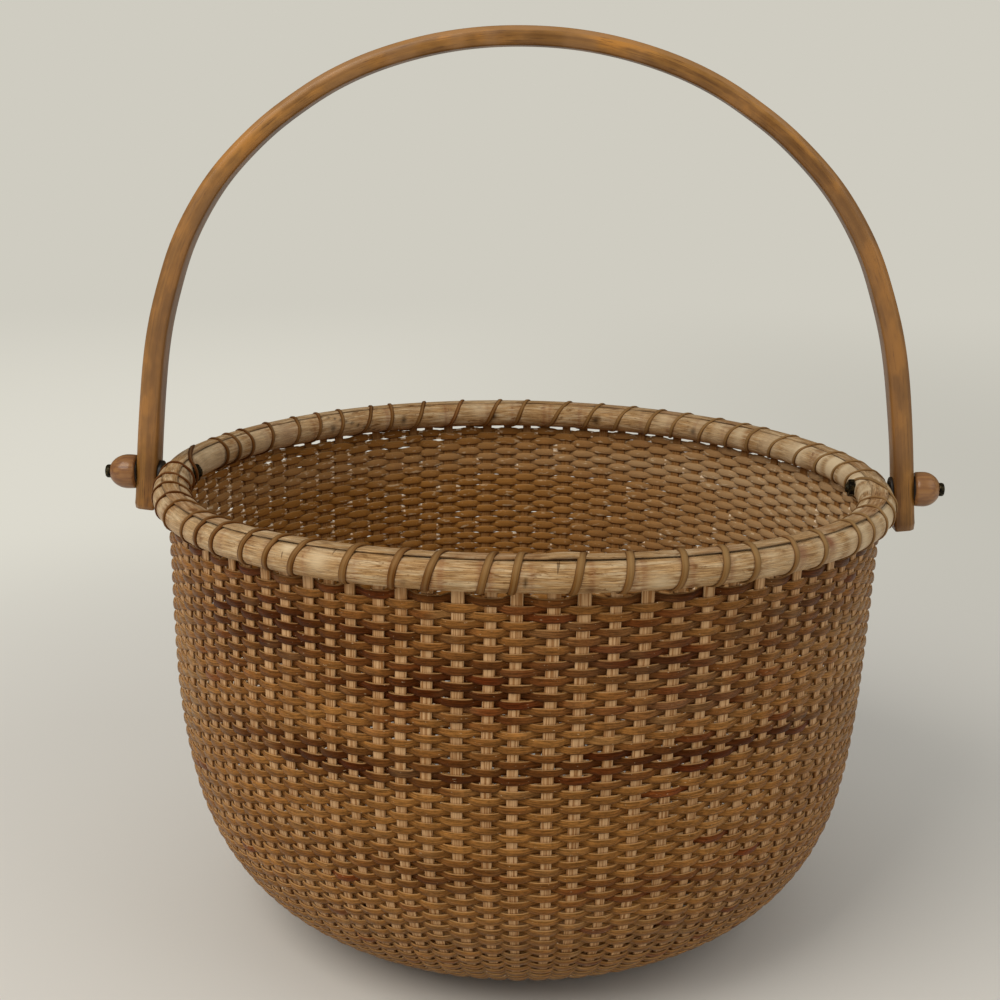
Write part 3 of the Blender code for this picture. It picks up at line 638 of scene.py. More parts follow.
def hoop_rattan():
    """Whole rattan pole split in half, bark outwards: straw, rubbed pale and stained brown."""
    colours = bpy.context.scene.basket_colours
    material, tree, shader = new_material("worn_rattan_pole", 0.5, ior=1.5, gloss=0.25, gloss_colour="ffc890")
    dark, red, pale_share, _ = tint_parts(tree)
    # fibres 9 mm long and 0.33 mm wide, blotches of 10 mm by 3 mm, flakes of 1.5 mm
    fibre = grain_noise(tree, (0.11, 3.0, 1.0), detail=5.0, roughness=0.7)
    blotch = grain_noise(tree, (0.10, 0.30, 1.0), detail=4.0, roughness=0.65, distortion=0.4)
    wash = grain_noise(tree, (0.06, 0.6, 3.0), detail=5.0, roughness=0.7)
    flake = grain_noise(tree, (0.45, 0.9, 1.0), detail=4.0, roughness=0.7)
    crack = grain_noise(tree, (0.35, 0.05, 2.0), detail=2.0)
    # the finest fibres, 0.15 mm wide
    thread = grain_noise(tree, (0.12, 6.5, 1.0), detail=3.0)
    colour = blend(tree, ramp(tree, fibre, 0.30, 0.62), rgba(colours.hoop_grain), rgba(colours.hoop))
    colour = overlay(tree, colour, (ramp(tree, wash, 0.45, 0.66, 0.0, 0.65), colours.hoop_wear_and_painted_light))
    colour = shaded(tree, colour, ramp(tree, thread, 0.3, 0.65, 0.58, 1.2))
    # rings of the bark show as short dark cracks across the pole, 25 mm apart
    rings = ramp(tree, crack, 0.265, 0.24, 0.0, 0.6)
    # the tint adds stains, wear and knots, and also painted shade beside the lashing and in the cap's slits
    # and a painted sheen towards the rim's sides
    colour = overlay(tree, colour, (ramp(tree, blotch, 0.57, 0.70, 0.0, 0.8), colours.hoop_stain),
                     (ramp(tree, flake, 0.42, 0.30, 0.0, 0.7), colours.hoop_stain),
                     (red, colours.cane_red), (dark, colours.hoop_cracks_and_shade), (pale_share, colours.hoop_wear_and_painted_light),
                     (rings, colours.hoop_cracks_and_shade))
    height = math_node(tree, "ADD", times(tree, fibre, 0.6), flake)
    height = math_node(tree, "SUBTRACT", height, times(tree, rings, 0.8))
    finish_material(tree, shader, colour, height, 0.7, 0.4, ramp(tree, wash, 0.3, 0.7, 0.36, 0.58))
    return material


def lashing_cane():
    """Fine binding cane, bark side up: dull golden brown, with painted shade along both edges and a painted
    highlight along its middle.
    """
    colours = bpy.context.scene.basket_colours
    material, tree, shader = new_material("binding_cane", 0.45, ior=1.5, gloss=0.2, gloss_colour="ffb070")
    dark, red, pale_share, _ = tint_parts(tree)
    off_middle = math_node(tree, "ABSOLUTE", across_strand(tree))
    fibre = grain_noise(tree, (0.08, 2.4, 1.0), detail=4.0)
    patch = grain_noise(tree, (0.05, 0.1, 1.0), detail=2.0)
    # painted shade darkens both edges, and a painted highlight pales the middle
    edge_shade = times(tree, ramp(tree, off_middle, 1.0, 1.4), 0.5)
    ridge_highlight = ramp(tree, off_middle, 0.7, 0.2, 0.0, 0.3)
    colour = blend(tree, ramp(tree, patch, 0.38, 0.66), rgba(colours.lashing), rgba(colours.lashing_golden))
    colour = overlay(tree, colour, (red, colours.cane_red), (dark, colours.cane_dark),
                     (ramp(tree, fibre, 0.58, 0.3, 0.0, 0.45), colours.cane_dark),
                     (pale_share, colours.lashing_worn_and_highlight), (ridge_highlight, colours.lashing_worn_and_highlight), (edge_shade, colours.cane_dark))
    finish_material(tree, shader, colour, fibre, 0.5, 0.2)
    return material


def bent_oak():
    """Steam-bent oak under varnish: honey brown, straight grain that follows the bend."""
    colours = bpy.context.scene.basket_colours
    material, tree, shader = new_material("varnished_bent_oak", 0.4, coat=0.1, coat_roughness=0.25, gloss=0.3)
    dark, _, pale_share, _ = tint_parts(tree)
    # growth rings 2.2 mm apart and pores 0.4 mm wide and 12 mm long
    ring = grain_noise(tree, (0.006, 0.45, 0.45), detail=2.0, distortion=0.3)
    pore = grain_noise(tree, (0.085, 2.6, 2.6), detail=3.0, roughness=0.7)
    cloud = grain_noise(tree, (0.045, 0.10, 0.10), detail=3.0, roughness=0.6)
    colour = blend(tree, ramp(tree, ring, 0.34, 0.62), rgba(colours.handle_dark), rgba(colours.handle))
    colour = overlay(tree, colour, (ramp(tree, cloud, 0.50, 0.64, 0.0, 0.8), colours.handle_orange))
    # the varnish has worn in clouds 20 mm long, darker where it is thick
    colour = shaded(tree, colour, ramp(tree, cloud, 0.36, 0.64, 0.72, 1.22))
    # the tint adds painted shade on the inner side and a painted highlight on the outer bevels, beside the
    # wear
    colour = overlay(tree, colour, (ramp(tree, pore, 0.47, 0.3, 0.0, 0.75), colours.handle_pores_and_shade),
                     (dark, colours.handle_pores_and_shade), (pale_share, colours.end_grain_and_highlight))
    finish_material(tree, shader, colour, pore, 0.3, 0.12, ramp(tree, pore, 0.3, 0.6, 0.5, 0.34))
    return material


def turned_knob():
    """Turned maple knob, stained and lacquered: reddish tan with a small soft highlight."""
    colours = bpy.context.scene.basket_colours
    material, tree, shader = new_material("lacquered_maple", 0.36, coat=0.25, coat_roughness=0.12, gloss=0.3)
    _, _, pale_share, _ = tint_parts(tree)
    # grain 1.1 mm wide and 11 mm long under clouds of 8 mm
    grain = grain_noise(tree, (0.09, 0.9, 0.9), detail=3.0)
    cloud = grain_noise(tree, (0.12, 0.12, 0.12), detail=2.0)
    colour = blend(tree, ramp(tree, grain, 0.35, 0.65), rgba(colours.knob_dark), rgba(colours.knob))
    colour = overlay(tree, colour, (ramp(tree, cloud, 0.5, 0.75, 0.0, 0.5), colours.knob_dark),
                     (pale_share, colours.end_grain_and_highlight))
    finish_material(tree, shader, colour, grain, 0.08, 0.05)
    return material


def turned_base():
    """Turned oak disc, varnished: brown, with fine tool rings under the finish."""
    colours = bpy.context.scene.basket_colours
    material, tree, shader = new_material("varnished_turned_oak", 0.42, coat=0.2)
    # straight grain across the disc, pores 0.4 mm wide
    ring = grain_noise(tree, (0.3, 0.32, 0.02), detail=3.0, distortion=0.5)
    pore = grain_noise(tree, (1.0, 2.4, 0.09), detail=3.0, roughness=0.7)
    colour = blend(tree, ramp(tree, ring, 0.36, 0.62), rgba(colours.handle_dark), rgba(colours.handle))
    colour = overlay(tree, colour, (ramp(tree, pore, 0.46, 0.3, 0.0, 0.7), colours.handle_pores_and_shade))
    finish_material(tree, shader, colour, pore, 0.25, 0.1)
    return material


def ebonised_wood():
    """Wood stained black and waxed: nearly black, with a low sheen."""
    material, tree, shader = new_material("ebonised_wood", 0.48)
    # grain 0.6 mm wide and 2.5 mm long
    grain = grain_noise(tree, (0.4, 1.6, 1.6), detail=3.0)
    colour = blend(tree, grain, rgba(hex_colour("14110f")), rgba(hex_colour("2c2622")))
    finish_material(tree, shader, colour, grain, 0.2, 0.08)
    return material


def patinated_brass():
    """Cast brass with a dark green-brown patina in patches, and brighter brass between them."""
    colours = bpy.context.scene.basket_colours
    material, tree, shader = new_material("patinated_brass", 0.42, metallic=0.85)
    # patches of patina 1.4 mm across
    patch = grain_noise(tree, (0.7, 0.7, 0.7), detail=4.0, roughness=0.65)
    colour = blend(tree, ramp(tree, patch, 0.4, 0.7), rgba(colours.brass_patina), rgba(colours.brass))
    finish_material(tree, shader, colour, patch, 0.25, 0.1, ramp(tree, patch, 0.35, 0.7, 0.55, 0.32))
    return material


# What the user can change

def length_property(name, description, size, low, high):
    """A length with its default and its limits, given in mm."""
    return FloatProperty(name=name, description=description, default=size * MM, min=low * MM, max=high * MM,
                         unit="LENGTH", precision=5)


class WallSettings(bpy.types.PropertyGroup):
    """Sizes of the staves and of the woven cane"""
    row_pitch: length_property("Row pitch", "Distance from one row of cane to the next", 2.75, 1.5, 6)
    cane_width: length_property("Cane width", "Width of the cane that is woven", 2.95, 1, 6)
    cane_thickness: length_property("Cane thickness", "Thickness of the woven cane", 0.95, 0.3, 2)
    stave_width: length_property("Stave width", "Width of a stave at the rim", 4.3, 2, 8)
    stave_thickness: length_property("Stave thickness", "Thickness of a stave", 1.2, 0.5, 3)
    stations: IntProperty(name="Steps between staves", description="Sections of cane from stave to stave",
                          default=8, min=4, max=12)


class RimSettings(bpy.types.PropertyGroup):
    """Sizes of the rim's two hoops"""
    outer_thickness: length_property("Outer hoop", "Thickness of the outer hoop", 5.9, 2, 10)
    inner_thickness: length_property("Inner hoop", "Thickness of the inner hoop", 7.1, 2, 10)
    unevenness: length_property("Unevenness", "How far the hoops wave from a true ring", 0.16, 0, 1)


class HandleSettings(bpy.types.PropertyGroup):
    """Shape of the handle"""
    lean: length_property("Lean", "How far the top of the bend stands to the left", 0.8, -8, 8)
    corner: length_property("Edge bevel", "Width of the bevel on the outer edges", 2.3, 0.3, 3)


def colour_property(name, description, text):
    """A colour with its default, given as an sRGB hex value."""
    return FloatVectorProperty(name=name, description=description, subtype="COLOR", size=3,
                               min=0.0, max=1.0, default=hex_colour(text))


class ColourSettings(bpy.types.PropertyGroup):
    """Colours of all materials"""
    cane: colour_property("Cane", "Woven cane", "81572a")
    cane_golden: colour_property("Golden cane", "Woven cane where the shellac is thick", "9b6b35")
    cane_red: colour_property("Red cane", "Reddish lengths of cane", "6e2507")
    cane_dark: colour_property("Dark cane", "Stained lengths of cane", "3c1602")
    cane_wear_and_painted_light: colour_property("Worn cane", "Cane that has lost its finish", "9a7a52")
    cane_edge_and_highlight: colour_property("Cane edge", "Split edges of the cane", "c99f6a")
    cane_inside: colour_property("Cane inside", "Flat side of the cane, inside the basket", "a87435")
    stave: colour_property("Stave", "Scraped rattan of the staves", "cba478")
    stave_grain: colour_property("Stave vessels", "Fine dark lines along the staves", "8f6238")
    stave_shadow: colour_property("Stave stain", "Darker clouds on the staves", "9e7040")
    hoop: colour_property("Hoop", "Bark of the rim hoops", "be9868")
    hoop_grain: colour_property("Hoop fibres", "Darker fibres of the hoops", "6e4924")
    hoop_wear_and_painted_light: colour_property("Hoop wear", "Rubbed places of the hoops", "d8c19c")
    hoop_stain: colour_property("Hoop stain", "Brown blotches on the hoops", "694218")
    hoop_cracks_and_shade: colour_property("Hoop cracks", "Cracks and knots in the hoops", "2c1506")
    lashing: colour_property("Lashing", "Binding cane of the rim", "6f4a20")
    lashing_worn_and_highlight: colour_property("Worn lashing", "Binding cane that has lost its colour", "9a7c52")
    lashing_golden: colour_property("Golden lashing", "Paler lengths of the binding cane", "866136")
    handle: colour_property("Handle", "Oak of the handle", "a57436")
    handle_orange: colour_property("Handle streaks", "Orange streaks in the handle", "ab7431")
    handle_dark: colour_property("Handle rings", "Darker growth rings of the handle", "855a29")
    handle_pores_and_shade: colour_property("Handle pores", "Pores of the oak", "4a270c")
    end_grain_and_highlight: colour_property("End grain", "Worn end grain of the handle and knobs", "a07850")
    knob: colour_property("Knob", "Stained maple of the knobs", "986c40")
    knob_dark: colour_property("Knob grain", "Darker grain of the knobs", "7c5334")
    brass: colour_property("Brass", "Bright edges of the brass", "5a5138")
    brass_patina: colour_property("Patina", "Dark patina of the brass", "15130d")
    floor: colour_property("Floor", "Plain floor", "dedbd4")
    backdrop: colour_property("Backdrop", "Plain background", "cfccc1")


class StageSettings(bpy.types.PropertyGroup):
    """Light of the stage"""
    key: FloatProperty(name="Key light", description="Power of the large lamp on the upper left",
                       default=14.5, min=0.0, max=100.0, unit="POWER")
    fill: FloatProperty(name="Fill light", description="Power of the lamp on the right",
                        default=3.2, min=0.0, max=100.0, unit="POWER")
    world: FloatProperty(name="Room light", description="Strength of the even light from all sides",
                         default=0.50, min=0.0, max=3.0)


# Pieces

def tint_along(corners, *shares):
    """Tint of sections with so many corners, from how dark, red and bleached the piece is along it."""
    tint = np.zeros((len(shares[0]), corners, 4))
    for part, share in enumerate(shares):
        tint[..., part] = share[:, None]
    return tint


def stave_section(width, thickness):
    """Flat stave with eased edges; its first four corners face the inside."""
    w, t = width / 2, thickness / 2
    return np.array(((-w, -0.55 * t), (-0.84 * w, -t), (0.84 * w, -t), (w, -0.55 * t),
                     (w, 0.5 * t), (0.82 * w, t), (-0.82 * w, t), (-w, 0.5 * t)))


class BASKET_OT_staves(bpy.types.Operator):
    """Build the staves, from the groove in the base to the top of the rim"""
    bl_idname = "basket.staves"
    bl_label = "Staves"

    def execute(self, context):
        wall = context.scene.basket_wall
        section = stave_section(wall.stave_width / MM, wall.stave_thickness / MM)
        s = np.linspace(0.0, WALL.length[-1], STAVE_STATIONS)
        r, z, nr, nz = WALL.at(s)
        widths = STAVE_FOOT_SHARE + (1 - STAVE_FOOT_SHARE) * np.clip(s / WALL.length[-1], 0, 1) ** 0.6
        # the staves are darker towards the foot
        darkened = np.clip(1 - z / STAVE_DARKER_UP_TO, 0, 1)
        pieces = Pieces()
        for i in range(STAVE_COUNT):
            angle = stave_angle(np.full_like(s, i), z)
            bow = STAVE_BOW * value_noise(Seed.STAVE_BOW + i, s / 14.0)
            path = settle(polar(r + bow * nr, angle, z + bow * nz))
            across = np.stack((-np.sin(angle), np.cos(angle), 0 * angle), axis=1)
            own = 1.0 + STAVE_WIDTH_VARIES * value_noise(Seed.STAVE_WIDTH, 1.7 * i)
            points = sweep(path, -across, section, widths * own)
            dark = 0.10 * now_and_then(Seed.STAVE_STAIN + i, s / 20.0) + 0.1 * darkened
            pale_share = 0.25 * darkened + 0.12 * now_and_then(Seed.STAVE_WEAR + i, s / 30.0)
            tint = tint_along(8, dark, 0 * s, pale_share)
            tint[:, 0:4, INSIDE] = 1.0
            pieces.add(points, grain_of(s, section, i), tint)
        pieces.make("staves", stave_rattan(), FIXED, "weave_cane", "woven_wall")
        return {"FINISHED"}


# Darker, redder and paler places of the weave, most of them stains and fading: height, half height, degrees
# right of the front, half width (ALL_ROUND for a whole row), and how dark, red and pale they are
ALL_ROUND = 400
WEAVE_ZONES = (
    # painted shade under the hoop: the top row is dark and red all round
    (176.0, 4.0, 0, ALL_ROUND, 0.70, 0.45, 0.0),
    (156.0, 15.0, -38, 16, 0.95, 0.20, 0.0),
    (145.0, 24.0, -47, 15, 0.42, 0.25, 0.0),
    (141.0, 15.0, -9, 20, 0.85, 0.60, 0.0),
    (158.0, 10.0, -22, 12, 0.60, 0.30, 0.0),
    (154.0, 14.0, 16, 17, 0.70, 0.70, 0.20),
    (137.0, 11.0, 24, 16, 0.60, 0.60, 0.25),
    (158.0, 11.0, 40, 18, 0.60, 0.35, 0.15),
    (112.0, 5.5, -22, 32, 0.90, 0.25, 0.0),
    (116.0, 5.0, 25, 28, 0.90, 0.45, 0.0),
    (112.0, 4.0, 4, 16, 0.85, 0.60, 0.0),
    (72.0, 5.5, -15, 16, 0.60, 0.20, 0.0),
    (66.0, 5.0, 18, 16, 0.35, 0.35, 0.0),
    # painted sheen: the weave is paler towards the left and right sides
    (115.0, 36.0, -70, 15, 0.05, 0.0, 0.62),
    (130.0, 42.0, 68, 18, 0.10, 0.05, 0.65),
    # the rows near the foot are darker and duller
    (12.0, 16.0, 0, ALL_ROUND, 0.25, 0.05, 0.45),
    (38.0, 16.0, 0, ALL_ROUND, 0.10, 0.05, 0.22),
    (150.0, 16.0, 95, 18, 0.60, 0.25, 0.0),
    (120.0, 10.0, 150, 24, 0.65, 0.30, 0.0),
    (90.0, 10.0, 210, 26, 0.55, 0.25, 0.0),
)


# Rows where the shellac has stayed thick and golden: height and half height in mm
GOLDEN_ROWS = (127.0, 6.0)


def weave_tint(turn, angle, height):
    """Dark, red and bleached shares of the cane at places along it."""
    around = signed(np.degrees(angle) - FRONT_ANGLE)
    shares = np.zeros((3, len(angle)))
    for middle, half, at, width, *much in WEAVE_ZONES:
        near = bell(height, middle, half)
        if width < ALL_ROUND:
            near = near * bell(signed(around - at), 0, width)
        shares = np.maximum(shares, near * np.array(much)[:, None])
    dark, red, pale_share = shares
    row = np.floor(turn)
    own = value_noise(Seed.CANE_OWN, row * 3.7 + angle * 5.0)
    short = value_noise(Seed.CANE_SHORT, row * 11.3 + angle * 16.0)
    odd = value_noise(Seed.CANE_ODD, row * 5.9 + angle * 9.0)
    whole_row = value_noise(Seed.CANE_ROW, row * 5.3 + angle * 1.3)
    # now and then one visible piece is much darker and redder than the next
    piece = np.floor(turn * STAVE_COUNT / 2 + 0.5).astype(int) % NOISE_KNOTS
    chance = np.random.default_rng(Seed.CANE_SINGLE).uniform(-24.0, 1.0, NOISE_KNOTS)
    single = np.clip(chance[piece], 0, 1) ** 0.3
    golden = bell(height, *GOLDEN_ROWS)
    dark = dark * (1.05 + 0.35 * own + 0.25 * whole_row) + 0.07 + 0.12 * short + 0.16 * whole_row
    dark = np.clip(dark - 0.45 * golden + 0.3 * single, 0.0, 0.95)
    red = red * (1 - 0.6 * golden) * (0.8 + 0.8 * odd) + 0.4 * np.clip(odd - 0.6, 0, 1)
    red = np.clip(red + 0.05 + 0.7 * single, 0.0, 0.88)
    pale_share = pale_share * (0.8 + 0.7 * short) + 0.45 * np.clip(own * short - 0.25, 0, 1)
    return dark, red, np.clip(pale_share, 0.0, 0.8)


def cane_section(width, thickness):
    """Flat-oval cane: crowned bark side out, flat side in."""
    w, t = width / 2, thickness
    return np.array(((-w, 0.06 * t), (-0.8 * w, -0.34 * t), (0.8 * w, -0.34 * t), (w, 0.06 * t),
                     (0.8 * w, 0.42 * t), (0.3 * w, 0.60 * t), (-0.3 * w, 0.60 * t), (-0.8 * w, 0.42 * t)))


# How far each corner of that section belongs to the inside of the basket
CANE_INSIDE = np.array((0.5, 1.0, 1.0, 0.5, 0.0, 0.0, 0.0, 0.0))


class BASKET_OT_weave(bpy.types.Operator):
    """Weave the cane over and under the staves, in one rising spiral of many lengths"""
    bl_idname = "basket.weave"
    bl_label = "Weave"

    def execute(self, context):
        wall = context.scene.basket_wall
        start = WALL.where(0, FIRST_ROW_RADIUS)
        rows = (WALL.where(1, LAST_ROW_HEIGHT) - start) / (wall.row_pitch / MM)
        # the last row ends beside the left ear, where it doesn't show
        total = int((math.floor(rows) + LAST_ROW_END / 360) * STAVE_COUNT)
        rng = np.random.default_rng(Seed.LENGTHS)
        cuts = [0]
        while cuts[-1] < total:
            cuts.append(min(total, cuts[-1] + int(rng.uniform(*TURNS_OF_A_LENGTH) * STAVE_COUNT)))
        bands = [Pieces() for _ in range(WEAVE_BANDS)]
        material = woven_cane()
        for number, (first, last) in enumerate(zip(cuts, cuts[1:])):
            if last - first >= FEWEST_STAVES_OF_A_LENGTH:
                band = bands[min(WEAVE_BANDS - 1, WEAVE_BANDS * first // total)]
                self.add_length(band, wall, number, first, last, start)
        for i, band in enumerate(bands):
            band.make(f"weave_band_{i + 1}", material, FIXED, "weave_cane", "woven_wall")
        return {"FINISHED"}

    def add_length(self, band, wall, number, first, last, start):
        """One length of cane, from behind one stave to behind another."""
        low, high = first - CANE_LAP, last + CANE_LAP
        k = np.linspace(low, high, int((high - low) * wall.stations) + 1)
        turn = right_of_front(k * STAVE_PITCH)
        r, z, nr, nz = WALL.at(self.climb(k, turn, start, wall.row_pitch / MM))
        angle = stave_angle(k, z)
        thickness = wall.cane_thickness / MM
        over = np.tanh(CANE_STEP * np.cos(math.pi * k)) / math.tanh(CANE_STEP)
        stand = wall.stave_thickness / MM / 2 + CANE_STAND * thickness
        depth = over * (stand + 0.07 * value_noise(Seed.CANE_DEPTH, k / 1.3)) - 0.08
        # the ends of neighbouring lengths lie one inside the other behind their stave
        depth -= 0.75 * thickness * np.clip(1 - (k - low) / 0.9, 0, 1)
        path = settle(polar(r + depth * nr, angle, z + depth * nz))
        # the strand's width lies up the wall
        upward = np.stack((-nz * np.cos(angle), -nz * np.sin(angle), nr), axis=1)
        width = wall.cane_width / MM * (1.0 + 0.05 * value_noise(Seed.CANE_STRAND, 2.9 * number))
        section = cane_section(width, thickness)
        points = sweep(path, upward, section, self.widths(k, turn, over, high))
        band.add(points, grain_of(walked(path), section, number), self.tint(k, turn, angle, z, over))

    def climb(self, k, turn, start, pitch):
        """Distance up the wall at places that are counted in staves from the first."""
        s = start + pitch * k / STAVE_COUNT
        s = s - FIRST_ROWS_DROP * np.exp(-(s - start) / FIRST_ROWS_REACH)
        # outside the basket the cane sags between the staves, most of all near the base
        low_down = np.clip(1 - s / CANE_SAG_REACH, 0, 1)
        s = s - pitch * (CANE_SAG + CANE_SAG_LOW * low_down ** 2) * np.cos(math.pi * k)
        s = s + 0.22 * value_noise(Seed.CANE_RISE, k / 2.3)
        s = s + 0.30 * value_noise(Seed.CANE_STRAY, (k % STAVE_COUNT) / 6.5, 14)
        # the last rows have slipped down at the back, and light comes in above them
        slip = np.interp(turn, *np.array(TOP_SLIP).T) * (0.8 + 0.45 * value_noise(Seed.CANE_SLIP, k / 1.9))
        return s - slip * np.clip(1 - (WALL.where(1, LAST_ROW_HEIGHT) - s) / TOP_SLIP_REACH, 0, 1)

    def widths(self, k, turn, over, high):
        """How wide the strand is along it, as a share of its own width."""
        crossed = bell(over, 0, 0.75)
        widths = 1.08 + 0.05 * value_noise(Seed.CANE_WIDTH, k / 3.1) + 0.20 * np.clip(-over, 0, 1)
        # the strand is pulled edge on where it dives in, which points the ends of what shows
        widths -= 0.17 * crossed * (over > -0.35)
        # rough split edges, and a tapered last end
        widths += 0.05 * value_noise(Seed.CANE_SPLIT, k * 5.3)
        widths *= 0.35 + 0.65 * np.clip((high - k) / 0.7, 0, 1)
        # where neighbouring rows cross beside a stave, some leave a pinhole at the left
        loose = np.clip(value_noise(Seed.CANE_LOOSE, k / 1.7) - 0.1, 0, 1) * 0.55
        return widths - loose * bell(turn, LOOSE_AT, LOOSE_WIDTH) * crossed

    def tint(self, k, turn, angle, height, over):
        """Stains, wear and dust of a strand, painted shade where it dives behind a stave, painted light on
        the inner wall, and painted pinhole light at some of its crossings.
        """
        dark, red, pale_share = weave_tint(k / STAVE_COUNT, angle, height)
        # painted shade: the cane is darker where it dives behind a stave, into the recess
        dark = np.clip(dark + 0.16 * np.clip(0.25 - over, 0, 1) * (1 - dark), 0, 0.92)
        tint = tint_along(8, dark, red, pale_share)
        tint[..., INSIDE] = CANE_INSIDE
        # painted pinhole light: at some crossings, most of all on the left wall, the inner corners are marked
        # to be painted pale
        often = 0.85 - 1.7 * bell(turn, 265, 30) - 0.35 * bell(turn, 205, 26)
        crossing = (np.abs(over) < 0.55) & (value_noise(Seed.CANE_CROSSING, k * 1.9) > often)
        tint[crossing, 0:4, INSIDE] = PAINTED_PINHOLE
        # inside, painted light makes the wall that faces the large lamp paler, and the rows 15 mm under the
        # rim are paler too
        near_rim = (0.25 + 0.22 * bell(turn, 150, 28)) * bell(height, 161, 7)
        dust_and_painted_light = np.clip(0.75 * bell(turn, 105, 45) + near_rim, 0, 1)
        tint[:, 1:3, PALER] = np.maximum(pale_share, dust_and_painted_light)[:, None]
        return tint


def half_round_section(thickness, count):
    """Half-round hoop as (outward, up) offsets from the middle of its flat."""
    turn = np.linspace(-math.pi / 2, math.pi / 2, count)
    out = thickness * np.abs(np.cos(turn)) ** (2 / HOOP_POWER)
    up = HOOP_HEIGHT / 2 * np.sign(np.sin(turn)) * np.abs(np.sin(turn)) ** (2 / HOOP_POWER)
    return np.stack((out, up), axis=1)


def ring_noise(seed, angle, waves):
    """Noise round the rim that meets itself, for angles of one turn."""
    return value_noise(seed, angle / (2 * math.pi) * waves, waves)


def rim_wave(seed, angle, amount):
    """A slow wave round the rim with a quicker one on it, in mm."""
    return amount * (ring_noise(seed, angle, 23) + 0.6 * ring_noise(seed + 1, angle, 61))


# Marks on the hoops: degrees right of the front, place from bottom (0) to top (1) of the
# round side, half length in degrees, half width, part of the tint, share
HOOP_STAINS_OUT = (
    (39.0, 0.62, 1.1, 0.20, RED, 0.75), (45.5, 0.70, 1.0, 0.22, RED, 0.85),
    (0.1, 0.45, 0.25, 0.10, DARK, 1.0), (-27.0, 0.60, 1.6, 0.20, PALER, 0.7),
    (-32.0, 0.75, 1.3, 0.12, PALER, 0.8), (17.0, 0.40, 1.5, 0.16, PALER, 0.6),
    (52.0, 0.72, 1.0, 0.10, PALER, 0.8),
    (58.0, 0.5, 1.4, 0.3, RED, 0.4), (-64.0, 0.5, 1.4, 0.3, RED, 0.35), (8.0, 0.3, 0.9, 0.08, DARK, 0.6),
    (-15.0, 0.35, 0.5, 0.06, DARK, 0.6), (110.0, 0.5, 2.0, 0.3, RED, 0.5), (150.0, 0.6, 1.6, 0.2, RED, 0.6),
    (195.0, 0.4, 1.8, 0.25, PALER, 0.7), (235.0, 0.6, 1.5, 0.3, RED, 0.5),
)
HOOP_STAINS_IN = (
    (187.0, 0.50, 0.85, 0.085, DARK, 1.0), (206.5, 0.5, 0.6, 0.085, DARK, 1.0),
    (223.0, 0.5, 0.7, 0.085, DARK, 1.0), (165.0, 0.5, 0.8, 0.085, DARK, 1.0),
    (143.0, 0.5, 0.6, 0.09, DARK, 1.0), (190.0, 0.7, 2.0, 0.2, PALER, 0.5),
    (150.0, 0.7, 2.0, 0.2, PALER, 0.5), (235.0, 0.6, 2.5, 0.3, RED, 0.4),
)
# The slanted joint of a hoop's two ends: where it is on the outer and inner hoop, and its length
OUTER_SCARF_AT, INNER_SCARF_AT, SCARF_LENGTH = 60.0, 129.0, 22.0


def deepen(tint, part, share):
    """Raise one part of a tint to a share wherever it is less."""
    tint[..., part] = np.maximum(tint[..., part], share)


